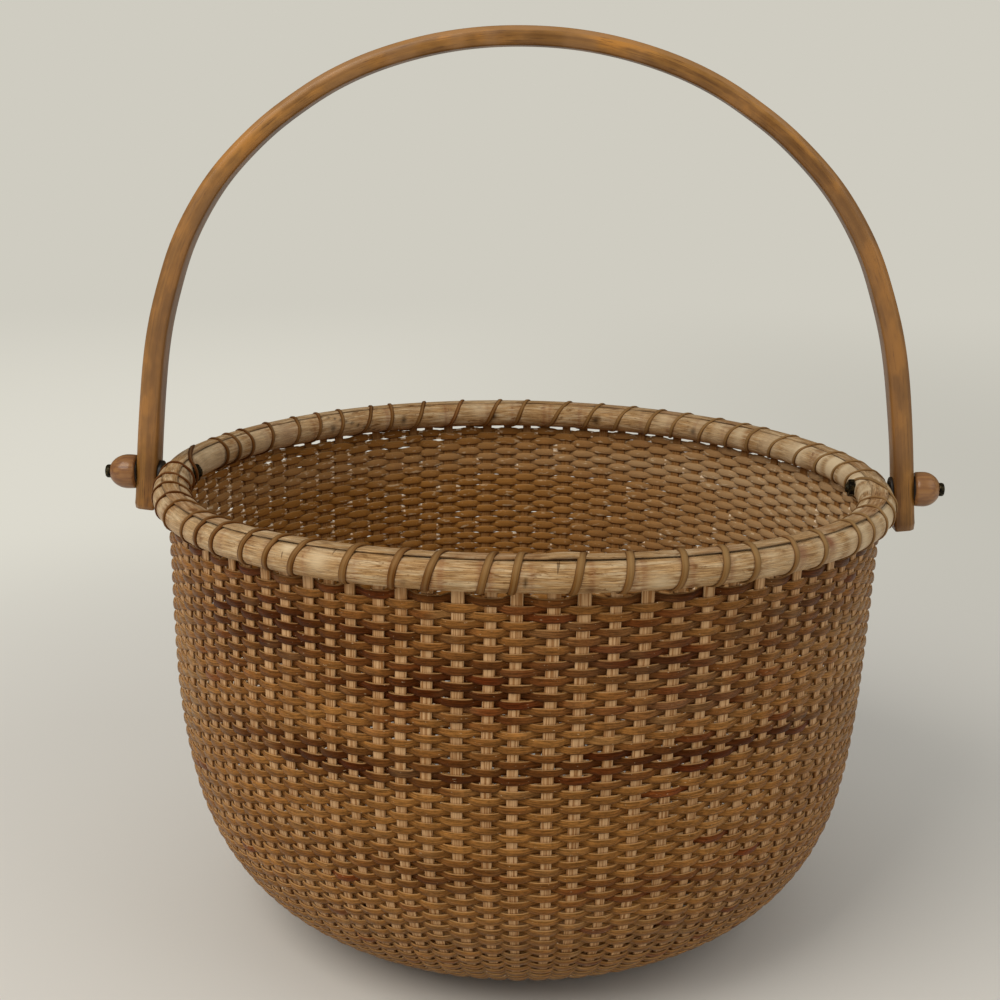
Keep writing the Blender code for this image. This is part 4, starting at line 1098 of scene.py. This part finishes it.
class BASKET_OT_hoops(bpy.types.Operator):
    """Build the two half-round hoops of the rim"""
    bl_idname = "basket.hoops"
    bl_label = "Hoops"

    def execute(self, context):
        rim = context.scene.basket_rim
        material = hoop_rattan()
        angle = np.arange(RIM_STATIONS) * 2 * math.pi / RIM_STATIONS
        for label, seat, thickness, sign, seed, joint in (
                ("outer", OUTER_SEAT, rim.outer_thickness / MM, 1, Seed.OUTER_HOOP, OUTER_SCARF_AT),
                ("inner", INNER_SEAT, rim.inner_thickness / MM, -1, Seed.INNER_HOOP, INNER_SCARF_AT)):
            section = half_round_section(thickness, 17)
            uneven = 1.0 + rim_wave(seed, angle, rim.unevenness / MM)[:, None] / thickness
            if sign < 0:
                # the inner hoop is taller, and its tapered end is thin beside the left nut
                section = section * (1.0, INNER_HOOP_STRETCH) + (0.0, INNER_HOOP_LIFT)
                uneven = uneven * (1 - 0.22 * bell(right_of_front(angle), 266, 16))[:, None]
            lift = rim_wave(seed + 2, angle, 0.6 * rim.unevenness / MM)[:, None]
            radius = seat + sign * section[None, :, 0] * uneven
            spin = angle[:, None] + 0 * radius
            points = settle(polar(radius, spin, HOOP_MIDDLE + section[None, :, 1] + lift))
            walk = walked(section)
            grain = np.stack((seat * spin, walk + 0 * spin, 40.0 * sign + 0 * spin), axis=-1)
            tint = np.zeros((*spin.shape, 4))
            self.scarf(tint, angle, walk, joint)
            self.marks(tint, angle, walk / walk[-1], sign)
            pieces = Pieces()
            pieces.add(points, grain, tint, ring=True)
            pieces.make(f"{label}_hoop_rattan", material, FIXED, "hoop_rattan", f"{label}_hoop")
        return {"FINISHED"}

    def scarf(self, tint, angle, walk, joint):
        """The slanted line where the hoop's two tapered ends meet."""
        turn = signed(np.degrees(angle) - joint)
        line = walk[-1] * (0.5 + turn / SCARF_LENGTH)
        off = np.abs(walk[None, :] - line[:, None])
        deepen(tint, DARK, np.clip(1 - off / 0.5, 0, 1) * (np.abs(turn) < SCARF_LENGTH / 2)[:, None])

    def marks(self, tint, angle, place, sign):
        """Brown stains, small dark knots, painted shade beside the lashing and a painted sheen towards the
        sides, by degrees from the front and place round the section.
        """
        turn = signed(np.degrees(angle) - FRONT_ANGLE)
        # painted shade: the hoop is darker and redder along both edges of each turn of the lashing, where the
        # strand shades it
        turns = lashing_angles()
        crossed = turns[:-1] + (0.28 if sign > 0 else 0.75) * np.diff(turns)
        apart = np.abs((angle[:, None] - crossed[None, :] + math.pi) % (2 * math.pi) - math.pi).min(axis=1)
        darkened = bell(OUTER_SEAT * apart, 1.6, 1.1) * (0.6 + 0.4 * value_noise(Seed.HOOP_DIRT, angle * 40))
        deepen(tint, RED, 0.42 * darkened[:, None])
        # painted sheen: the hoop is paler towards its left and right sides, unevenly and most on the right
        ends = np.abs(np.sin(np.radians(turn))) ** 3 * (0.3 + 0.4 * value_noise(Seed.HOOP_ENDS, angle * 30))
        deepen(tint, PALER, np.clip(ends * np.where(turn > 0, 2.0, 0.85), 0, 1)[:, None])
        for at, across, long, wide, part, much in HOOP_STAINS_OUT if sign > 0 else HOOP_STAINS_IN:
            near = bell(signed(turn - at), 0, long)[:, None] * bell(place, across, wide)
            deepen(tint, part, much * near)


class BASKET_OT_cap(bpy.types.Operator):
    """Build the strip of cane that covers the stave tops"""
    bl_idname = "basket.cap"
    bl_label = "Cap strip"

    def execute(self, context):
        angle = np.arange(RIM_STATIONS) * 2 * math.pi / RIM_STATIONS
        turn = signed(np.degrees(angle) - BULGE_ANGLE)
        # the strip swells up between two turns of the lashing
        bulge = BULGE_RISE * np.exp(-(turn / BULGE_WIDTH) ** 4)
        w, t = CAP_WIDTH / 2, CAP_THICKNESS
        section = np.array((
            (-w, 0.25 * t), (-0.86 * w, 0.0), (0.86 * w, 0.0), (w, 0.25 * t),
            (0.93 * w, 0.62 * t), (0.66 * w, 0.88 * t), (0.25 * w, t),
            (-0.25 * w, t), (-0.66 * w, 0.88 * t), (-0.93 * w, 0.62 * t)))
        wander = 0.35 * ring_noise(Seed.CAP_WANDER, angle, 19)
        radius = CAP_RADIUS + wander[:, None] + section[None, :, 0]
        height = CAP_BASE + section[None, :, 1] * (1 + bulge[:, None] / t)
        spin = angle[:, None] + 0 * radius
        grain = np.stack((CAP_RADIUS * spin, section[None, :, 0] + 0 * spin, 95.0 + 0 * spin), axis=-1)
        stain = 0.30 * np.clip(ring_noise(Seed.CAP_STAIN, angle, 53), 0, 1)
        wear = 0.15 * np.clip(ring_noise(Seed.CAP_WEAR, angle, 37), 0, 1)
        tint = tint_along(len(section), 0 * angle, stain, wear)
        # painted shade: the cap is dark where it sits down in the slits beside the hoops
        slit_shade = np.clip(0.75 + 0.6 * ring_noise(Seed.CAP_SLIT, angle, 71), 0.2, 1)
        tint[:, (0, 1, 2, 3), DARK] = slit_shade[:, None]
        tint[:, (4, 9), DARK] = 0.45 * slit_shade[:, None]
        pieces = Pieces()
        pieces.add(settle(polar(radius, spin, height)), grain, tint, ring=True)
        pieces.make("cap_strip", hoop_rattan(), FIXED, "hoop_rattan", "rim_cap")
        return {"FINISHED"}


def lashing_angles():
    """Where each turn of the lashing starts under the wall, and where the last one ends."""
    turns = np.array((*LASHING_TURNS, LASHING_TURNS[0] + 360))
    back = LASHING_BACK - LASHING_BACK_VARIES * np.cos(np.radians(turns))
    return np.radians(turns + FRONT_ANGLE - back)


def lashing_section(rim):
    """Closed path round both hoops and the cap as (radius, height), from under the wall outwards."""
    stand = LASHING_THICKNESS * 0.45
    taller = (1.0, 1 + 2 * stand / HOOP_HEIGHT)
    outer = half_round_section(rim.outer_thickness / MM + stand, 9) * taller
    inner = half_round_section(rim.inner_thickness / MM + stand, 9) * taller
    over = CAP_BASE + CAP_THICKNESS + stand
    # half of the way over the cap, from its edge to its middle
    half = [(CAP_WIDTH / 2 + 0.1, over - 0.75), (0.6 * CAP_WIDTH / 2, over - 0.1)]
    points = [(CAP_RADIUS, HOOP_TOP - HOOP_HEIGHT - stand)]
    points += [(OUTER_SEAT + out, HOOP_MIDDLE + up) for out, up in outer[1:-1]]
    points += [(CAP_RADIUS + out, up) for out, up in half] + [(CAP_RADIUS, over)]
    points += [(CAP_RADIUS - out, up) for out, up in half[::-1]]
    points += [(INNER_SEAT - out, HOOP_MIDDLE + up) for out, up in inner[::-1][1:-1]]
    closed = np.array(points + points[:1])
    at = walked(closed)
    even = np.linspace(0.0, at[-1], LASHING_STEPS, endpoint=False)
    ring = np.stack([np.interp(even, at, column) for column in closed.T], axis=1)
    # one light smoothing rounds the corners, and the strip keeps clear of the hoops
    return 0.5 * ring + 0.25 * (np.roll(ring, 1, axis=0) + np.roll(ring, -1, axis=0))


class BASKET_OT_lashing(bpy.types.Operator):
    """Wind one strand of binding cane round the whole rim"""
    bl_idname = "basket.lashing"
    bl_label = "Lashing"

    def execute(self, context):
        path, outward, turns = self.wind(lashing_section(context.scene.basket_rim))
        across = np.cross(outward, unit(np.gradient(path, axis=0)))
        w, t = LASHING_WIDTH / 2, LASHING_THICKNESS
        section = np.array((
            (-w, 0.0), (-0.82 * w, -0.42 * t), (0.82 * w, -0.42 * t), (w, 0.0), (0.82 * w, 0.36 * t),
            (0.3 * w, 0.55 * t), (-0.3 * w, 0.55 * t), (-0.82 * w, 0.36 * t)))
        angle = np.arctan2(path[:, 1], path[:, 0])
        # the strand is split wide at the front and narrow everywhere else
        front = np.exp(-(signed(np.degrees(angle) - FRONT_ANGLE) / 50) ** 4)
        widths = 0.68 + 0.30 * front + 0.07 * value_noise(Seed.LASHING_WIDTH, turns * 2.3)
        # it has bleached on the right, and it is paler where it turns over the rim
        right = np.sin(angle + math.pi / 2 - math.radians(10))
        worn = 0.4 * bell(turns % 1, 0.36, 0.12)
        red = 0.6 * np.clip(value_noise(Seed.LASHING_RED, turns * 1.3) - 0.35, 0, 1)
        dark = 0.04 - 0.30 * right + 0.35 * now_and_then(Seed.LASHING_DARK, turns * 1.9)
        tint = tint_along(8, np.clip(dark, 0, 0.8), red, np.clip(0.45 * right + worn, 0, 1))
        pieces = Pieces()
        pieces.add(sweep(path, across, section, widths), grain_of(walked(path), section, 3), tint)
        pieces.make("lashing_strand", lashing_cane(), FIXED, "lashing_cane", "rim_lashing")
        return {"FINISHED"}

    def wind(self, ring):
        """Middle line of the strand, its outward directions and the turns counted along it."""
        r, z = (np.pad(column, 1, mode="wrap") for column in ring.T)
        normal = unit(np.stack((np.gradient(z)[1:-1], -np.gradient(r)[1:-1]), axis=1))
        share = np.arange(LASHING_STEPS) / LASHING_STEPS
        places = lashing_angles()
        path, outward, turns = [], [], []
        for turn, (here, there) in enumerate(zip(places, places[1:])):
            gap = there - here
            slant = LASHING_SLANT * (1 + 0.35 * value_noise(Seed.LASHING_SLANT, 1.7 * turn))
            outer = min(slant, 0.5 * gap)
            inner = 0.6 * (gap - outer)
            eased = np.interp(share, (0.0, 0.5, 0.86, 1.0), (0.0, outer, outer + inner, gap))
            if gap > WIDE_TURN:
                # beside a bolt the strand crosses slantwise over the top of the rim
                eased = gap * (0.5 + 0.5 * np.tanh((share - 0.5) * 9.0) / math.tanh(4.5))
            angle = here + eased + 0.0045 * value_noise(Seed.LASHING_PLACE, turn * 3.1 + share * 2)
            path.append(polar(ring[:, 0], angle, ring[:, 1]))
            outward.append(polar(normal[:, 0], angle, normal[:, 1]))
            turns.append(share + turn)
        # the strand ends under the rim just before it would meet its own start
        return (settle(np.concatenate(path))[:-2], np.concatenate(outward)[:-2], np.concatenate(turns)[:-2])


class BASKET_OT_base(bpy.types.Operator):
    """Turn the wooden base and the plug in its middle"""
    bl_idname = "basket.base"
    bl_label = "Base"

    def execute(self, context):
        r, h = BASE_RADIUS, BASE_HEIGHT
        hole = PLUG_RADIUS + 0.15
        low, high = GROOVE_SPAN
        material = turned_base()
        # from the hole outwards: the turned ring, the rounded rim, the groove and the recess below
        outline = [
            (hole, h - 0.2), (hole + 0.3, h), (r - 16.0, h), (r - 15.7, h - 0.35), (r - 15.2, h - 0.35),
            (r - 14.9, h), (r - 1.6, h), (r - 0.6, h - 0.35), (r - 0.1, h - 1.1), (r, h - 1.8),
            (r, high + 0.2), (r - 0.2, high), (GROOVE_FLOOR, high), (GROOVE_FLOOR, low), (r - 0.2, low),
            (r, low - 0.2), (r, 0.9), (r - 0.25, 0.25), (r - 0.9, 0.0), (47.0, 0.0), (46.4, 0.1),
            (45.4, 0.75), (45.0, 0.8), (hole + 0.3, 0.8), (hole, 1.0)]
        lathe(outline, 128).make("turned_base", material, FIXED, "base_wood", "base")
        p = PLUG_RADIUS
        plug = [(0.02, h - 0.05), (p - 1.0, h - 0.05), (p - 0.25, h - 0.3), (p, h - 0.8), (p, 1.6),
                (p - 0.25, 1.1), (p - 1.0, 0.85), (0.02, 0.85)]
        lathe(plug, 40, number=2).make("turned_plug", material, FIXED, "base_wood", "base_plug")
        return {"FINISHED"}


def handle_curve(lean):
    """Middle line of the handle from its right ear to its left, its outward directions and thickness."""
    half = np.array(HANDLE_OUTER)
    outer = smooth_curve(np.vstack((half, (half[:-1] * (-1, 1))[::-1])), HANDLE_STATIONS)
    for _ in range(6):
        outer[3:-3] = 0.5 * outer[3:-3] + 0.25 * (outer[2:-4] + outer[4:-2])
    along = unit(np.gradient(outer, axis=0))
    outward = np.stack((along[:, 1], -along[:, 0]), axis=1)
    # the left ear was sawn off a little shorter
    short = (outer[:, 0] < 0) & (outer[:, 1] < LEFT_EAR_CUT)
    outer[short, 1] = LEFT_EAR_CUT + LEFT_EAR_SHORTER * (outer[short, 1] - LEFT_EAR_CUT)
    rise = ease(np.clip((outer[:, 1] - THINS_FROM) / THINS_OVER, 0, 1))
    thickness = HANDLE_THICKNESS + (CROWN_THICKNESS - HANDLE_THICKNESS) * rise
    # the right leg is thinned on its inner side, where it passes the lashing
    thinner = RIGHT_LEG_THINNER * bell(outer[:, 1], THINNER_AT, THINNER_REACH)
    thickness = thickness - thinner * (outer[:, 0] > 0)
    middle = outer - outward * thickness[:, None] / 2
    middle[:, 1] -= RIM_TILT * middle[:, 0] / RIM_SIDE
    middle[:, 0] += SIDE_SHIFT_OF_HANDLE - lean * rise
    return middle, outward, thickness


class BASKET_OT_handle(bpy.types.Operator):
    """Bend the wooden handle over the basket"""
    bl_idname = "basket.handle"
    bl_label = "Handle"

    def execute(self, context):
        settings = context.scene.basket_handle
        middle, outward, thickness = handle_curve(settings.lean / MM)
        along = walked(middle)
        end = np.minimum(along, along[-1] - along)
        section = self.section(settings.corner / MM)
        # the ears are a little wider, and their sawn ends are eased
        shrink = 1 - 0.10 * np.clip(1 - end / SAWN_END, 0, 1) ** 2
        waist = 1.0 + 0.05 * np.clip(1 - end / 45, 0, 1) + 0.015 * value_noise(Seed.HANDLE_WIDTH, along / 30)
        across = section[None, :, 0] * (shrink * waist)[:, None]
        out = section[None, :, 1] * (shrink * thickness / HANDLE_THICKNESS)[:, None]
        points = np.stack((middle[:, 0, None] + out * outward[:, 0, None], -across,
                           PIVOT_HEIGHT + middle[:, 1, None] + out * outward[:, 1, None]), axis=-1)
        grain = np.stack((along[:, None] + 0 * across, across, out + 12.0), axis=-1)
        pieces = Pieces()
        pieces.add(points, grain, self.tint(along, end, len(section)))
        pieces.make("bent_handle", bent_oak(), SWINGING, "handle_wood", "handle")
        return {"FINISHED"}

    def section(self, c):
        """Outline of the handle: outer edges bevelled and rubbed round, inner ones only eased."""
        t, w = HANDLE_THICKNESS / 2, HANDLE_WIDTH / 2
        corner = [(w - c, t), (w - 0.72 * c, t - 0.14 * c), (w - 0.16 * c, t - 0.74 * c), (w, t - c)]
        inner = [(w, -t + 0.9), (w - 0.28, -t + 0.28), (w - 0.9, -t)]
        side = np.array([(w * 0.45, t + 0.12), *corner, (w + 0.04, 0.0), *inner, (w * 0.4, -t - 0.03)])
        return np.vstack((side, (side * (-1, 1))[::-1]))

    def tint(self, along, end, corners):
        """Worn, dark and pale places, with painted light and shade on the bevels and inner side, by the
        distance along the handle and from its nearer end.
        """
        bend = np.clip((end - 120) / 60, 0, 1)
        legs = np.clip((end - 22) / 12, 0, 1) * np.clip((165 - end) / 30, 0, 1)
        crown = np.clip((end - 150) / 60, 0, 1)
        crown = crown * np.clip(0.5 + 1.2 * value_noise(Seed.HANDLE_CROWN, along / 6.5), 0, 1)
        pale_share = np.maximum(0.7 * np.clip(1 - end / SAWN_END, 0, 1), 0.30 * crown + 0.32 * legs)
        worn = bend * now_and_then(Seed.HANDLE_WEAR, along / 5.0)
        dark = np.maximum(0.25 * np.clip(1 - end / 5, 0, 1), 0.25 * worn + 0.26 * legs)
        tint = tint_along(corners, dark, 0 * along, pale_share)
        # painted highlight makes the outer bevels pale along the bend, and painted shade keeps the inner side
        # dark
        bevel_highlight = 0.85 * bend * (0.75 + 0.25 * value_noise(Seed.HANDLE_RUBBED, along / 9.0))
        tint[:, HANDLE_OUTSIDE, PALER] = np.maximum(pale_share, bevel_highlight)[:, None]
        tint[:, HANDLE_OUTSIDE, DARK] *= (1 - 0.8 * bend)[:, None]
        tint[:, HANDLE_INSIDE, DARK] = np.maximum(dark, 0.5)[:, None]
        return tint


class BASKET_OT_knobs(bpy.types.Operator):
    """Turn the two knobs"""
    bl_idname = "basket.knobs"
    bl_label = "Knobs"

    def execute(self, context):
        material = turned_knob()
        r, tip = KNOB_RADIUS, KNOB_TIP_RADIUS
        hole = BOLT_RADIUS + 0.2
        last = math.acos(tip / r)
        for side, label in SIDES:
            low, high = KNOB_SPAN
            high += KNOB_EXTRA[side]
            shoulder = low + KNOB_STRAIGHT
            dome = (high - shoulder) / math.sin(last)
            turns = [last * 0.97 * (1 - i / 14) for i in range(15)]
            outline = [(hole, high - 0.1), (tip - 0.5, high), (tip - 0.1, high - 0.12)]
            outline += [(r * math.cos(turn), shoulder + dome * math.sin(turn)) for turn in turns]
            outline += [(r - 0.02, shoulder - 1.5), (r - 0.12, low + 0.8), (r - 0.5, low + 0.25),
                        (r - 1.1, low), (hole, low)]
            worn = np.array((0.0, 0.0, KNOB_WORN[side], 0.0))
            knob = lathe(outline, 56, side, number=side + 2, tint=worn)
            knob.make(f"turned_knob_{label}", material, FIXED, "knob_wood", f"{label}_knob")
        return {"FINISHED"}


class BASKET_OT_hardware(bpy.types.Operator):
    """Build the bolts, nuts, spacers and washers of both pivots"""
    bl_idname = "basket.hardware"
    bl_label = "Pivot hardware"

    def execute(self, context):
        brass = patinated_brass()
        ebony = ebonised_wood()
        for side, label in SIDES:
            self.bolt(side, label, brass)
            self.nut(side, label, brass)
            # the spacers fill what is left between the rim and the ears
            swollen = LEFT_SWELL - 0.2 if side < 0 else 0.0
            thinner = 0.75 * RIGHT_LEG_THINNER if side > 0 else 0.0
            spacer = (RIM_SIDE - side * SIDE_SHIFT_OF_HANDLE + swollen, EAR_INNER + thinner - 0.1)
            self.ring("spacer", spacer, SPACER_RADIUS, side, label, ebony)
            self.ring("washer", WASHER_SPAN, WASHER_RADIUS, side, label, ebony)
        return {"FINISHED"}

    def ring(self, name, span, r, side, label, material):
        """A spacer or washer with rounded rims."""
        low, high = span
        soft = min(0.35, 0.3 * (high - low))
        outline = [(BOLT_HOLE, high), (r - soft, high), (r - 0.3 * soft, high - 0.3 * soft), (r, high - soft),
                   (r, low + soft), (r - 0.3 * soft, low + 0.3 * soft), (r - soft, low), (BOLT_HOLE, low)]
        pieces = lathe(outline, 44, side, number=3 + side)
        pieces.make(f"ebony_{name}_{label}", material, FIXED, "spacer_black", f"{label}_{name}")

    def bolt(self, side, label, material):
        """A shank with a domed head outside the knob and a peened end inside the rim."""
        low, high = (place + KNOB_EXTRA[side] for place in HEAD_SPAN)
        r, b, end = HEAD_RADIUS, BOLT_RADIUS, BOLT_INNER_END
        outline = [(0.02, high - 0.35), (0.9, high - 0.32), (1.25, high - 0.05), (r - 0.9, high),
                   (r - 0.35, high - 0.2), (r - 0.08, high - 0.6), (r, high - 1.0), (r, low + 0.3),
                   (r - 0.2, low), (b, low), (b, end + 0.5), (b - 0.3, end + 0.12), (b - 0.8, end),
                   (0.02, end)]
        pieces = lathe(outline, 40, side, number=7)
        pieces.make(f"brass_bolt_{label}", material, FIXED, "bolt_bronze", f"{label}_bolt")

    def nut(self, side, label, material):
        """A six-sided nut with eased corners."""
        low, high = NUT_SPAN
        # each place of the outline as a share of the distance to the flats, with a round hole
        outline = ((0.0, high), (0.92, high), (1.0, high - 0.3), (1.0, low + 0.5), (0.9, low), (0.0, low))
        turn = np.arange(NUT_STEPS) * 2 * math.pi / NUT_STEPS
        face = (turn + math.pi / 6) % (math.pi / 3) - math.pi / 6
        flat = NUT_RADIUS * math.cos(math.pi / 6) / np.cos(face)
        share = np.array(outline)[:, 0]
        radius = np.where(share > 0, share * flat[:, None], BOLT_HOLE)
        pieces = lathe(outline, NUT_STEPS, side, radius=radius)
        pieces.make(f"brass_nut_{label}", material, FIXED, "bolt_bronze", f"{label}_nut")


# Stage

def floor_material():
    """Matt paper floor that fades into the plain background away from the basket."""
    colours = bpy.context.scene.basket_colours
    material, tree, shader = new_material("plain_paper", 0.9, ior=1.3)
    place = add_node(tree, "ShaderNodeTexCoord").outputs["Object"]
    flat = add_node(tree, "ShaderNodeVectorMath", {0: place, 1: (1.0, 1.0, 0.0)}, operation="MULTIPLY")
    far = add_node(tree, "ShaderNodeVectorMath", {0: flat.outputs[0]}, operation="LENGTH").outputs["Value"]
    # the paper ends in the backdrop between 0.26 and 0.75 m from the basket's middle
    fade = ramp(tree, far, 0.26, 0.75)
    # the side that faces the large lamp is a little brighter
    side = add_node(tree, "ShaderNodeSeparateXYZ", {0: place}).outputs[0]
    gain = times(tree, ramp(tree, side, -0.5, 0.5, 0.15, -0.14), ramp(tree, far, 0.8, 2.6, 1.0, 0.0))
    glow = add_node(tree, "ShaderNodeEmission",
                    {"Color": rgba(colours.backdrop), "Strength": math_node(tree, "ADD", gain, 1.0)})
    rays = add_node(tree, "ShaderNodeLightPath")
    shader.inputs["Base Color"].default_value = rgba(colours.floor)
    mix = add_node(tree, "ShaderNodeMixShader", {0: times(tree, fade, rays.outputs["Is Camera Ray"]),
                                                 1: shader.outputs[0], 2: glow.outputs[0]})
    tree.links.new(mix.outputs[0], tree.nodes["Material Output"].inputs["Surface"])
    return material


class BASKET_OT_stage(bpy.types.Operator):
    """Set up the floor, the lamps, the world and the photograph's camera"""
    bl_idname = "basket.stage"
    bl_label = "Stage"

    def execute(self, context):
        scene = context.scene
        settings = scene.basket_stage
        scene.view_settings.view_transform = "Standard"
        self.floor(scene)
        self.world(scene, settings)
        self.lamp(scene, "key_lamp", *KEY_LAMP, settings.key, hex_colour("fffaf3"))
        self.lamp(scene, "fill_lamp", *FILL_LAMP, settings.fill, hex_colour("fbfbfa"))
        self.camera(scene)
        return {"FINISHED"}

    def floor(self, scene):
        """A plain sheet of paper under the basket."""
        mesh = bpy.data.meshes.new("paper_floor")
        corners = [(x * FLOOR_HALF, y * FLOOR_HALF, 0.0) for x, y in ((-1, -1), (1, -1), (1, 1), (-1, 1))]
        mesh.from_pydata(corners, [], [(0, 1, 2, 3)])
        mesh.materials.append(floor_material())
        made = bpy.data.objects.new("paper_floor", mesh)
        scene.collection.objects.link(made)

    def world(self, scene, settings):
        """Even light from all sides; the camera sees the plain backdrop, and glossy surfaces see a dim warm
        room.
        """
        colours = scene.basket_colours
        world = bpy.data.worlds.new("soft_room")
        scene.world = world
        world.use_nodes = True
        tree = world.node_tree
        light = tree.nodes["Background"]
        light.inputs["Color"].default_value = rgba(hex_colour("fbfbf8"))
        light.inputs["Strength"].default_value = settings.world
        dim = add_node(tree, "ShaderNodeBackground", {"Color": rgba(hex_colour("e8c8a0")), "Strength": 0.14})
        plain = add_node(tree, "ShaderNodeBackground", {"Color": rgba(colours.backdrop), "Strength": 1.0})
        rays = add_node(tree, "ShaderNodeLightPath")
        # gloss shows the lamps before a dim room, as in a studio
        lit = add_node(tree, "ShaderNodeMixShader",
                       {0: rays.outputs["Is Glossy Ray"], 1: light.outputs[0], 2: dim.outputs[0]})
        mix = add_node(tree, "ShaderNodeMixShader",
                       {0: rays.outputs["Is Camera Ray"], 1: lit.outputs[0], 2: plain.outputs[0]})
        tree.links.new(mix.outputs[0], tree.nodes["World Output"].inputs["Surface"])

    def lamp(self, scene, name, place, size, power, colour):
        """A square softbox that faces the middle of the basket."""
        data = bpy.data.lights.new(name, "AREA")
        data.size = size
        data.energy = power
        data.color = colour
        lamp = bpy.data.objects.new(name, data)
        scene.collection.objects.link(lamp)
        lamp.location = place
        x, y, z = place
        away = Vector((x, y, z - LAMPS_FACE_HEIGHT))
        lamp.rotation_euler = away.to_track_quat("Z", "Y").to_euler()

    def camera(self, scene):
        """The camera that the photograph was taken with."""
        data = bpy.data.cameras.new("photograph_camera")
        data.sensor_width = SENSOR_WIDTH
        data.lens = FOCAL_LENGTH
        data.shift_x = SIDE_SHIFT
        data.clip_start = 0.01
        camera = bpy.data.objects.new("photograph_camera", data)
        scene.collection.objects.link(camera)
        turn = (Matrix.Rotation(math.radians(CAMERA_YAW), 4, "Z")
                @ Matrix.Rotation(math.radians(90 - CAMERA_PITCH), 4, "X")
                @ Matrix.Rotation(math.radians(CAMERA_ROLL), 4, "Z"))
        camera.matrix_world = Matrix.Translation(CAMERA_PLACE) @ turn
        scene.camera = camera


PIECE_OPERATORS = (
    BASKET_OT_staves, BASKET_OT_weave, BASKET_OT_hoops, BASKET_OT_cap, BASKET_OT_lashing, BASKET_OT_base,
    BASKET_OT_handle, BASKET_OT_knobs, BASKET_OT_hardware, BASKET_OT_stage,
)
SETTINGS = (
    ("basket_wall", WallSettings), ("basket_rim", RimSettings), ("basket_handle", HandleSettings),
    ("basket_colours", ColourSettings), ("basket_stage", StageSettings),
)


class BASKET_PT_panel(bpy.types.Panel):
    """Sizes and colours of the basket, and a button for each of its pieces"""
    bl_idname = "BASKET_PT_panel"
    bl_label = "Nantucket Basket"
    bl_space_type = "VIEW_3D"
    bl_region_type = "UI"
    bl_category = "Basket"

    def draw(self, context):
        for name, kind in SETTINGS:
            box = self.layout.box()
            box.label(text=name.replace("basket_", "").title())
            for key in kind.__annotations__:
                box.prop(getattr(context.scene, name), key)
        for operator in PIECE_OPERATORS:
            self.layout.operator(operator.bl_idname)


def register():
    """Make the settings, the operators and the panel known, the settings first."""
    for name, kind in SETTINGS:
        bpy.utils.register_class(kind)
        setattr(bpy.types.Scene, name, PointerProperty(type=kind))
    for kind in (*PIECE_OPERATORS, BASKET_PT_panel):
        bpy.utils.register_class(kind)


def unregister():
    """Take back all that was registered, in the opposite order."""
    for kind in (BASKET_PT_panel, *reversed(PIECE_OPERATORS)):
        bpy.utils.unregister_class(kind)
    for name, kind in reversed(SETTINGS):
        delattr(bpy.types.Scene, name)
        bpy.utils.unregister_class(kind)


def main():
    """Build every piece and the stage."""
    register()
    for operator in PIECE_OPERATORS:
        group, name = operator.bl_idname.split(".")
        getattr(getattr(bpy.ops, group), name)()


if __name__ == "__main__":
    main()
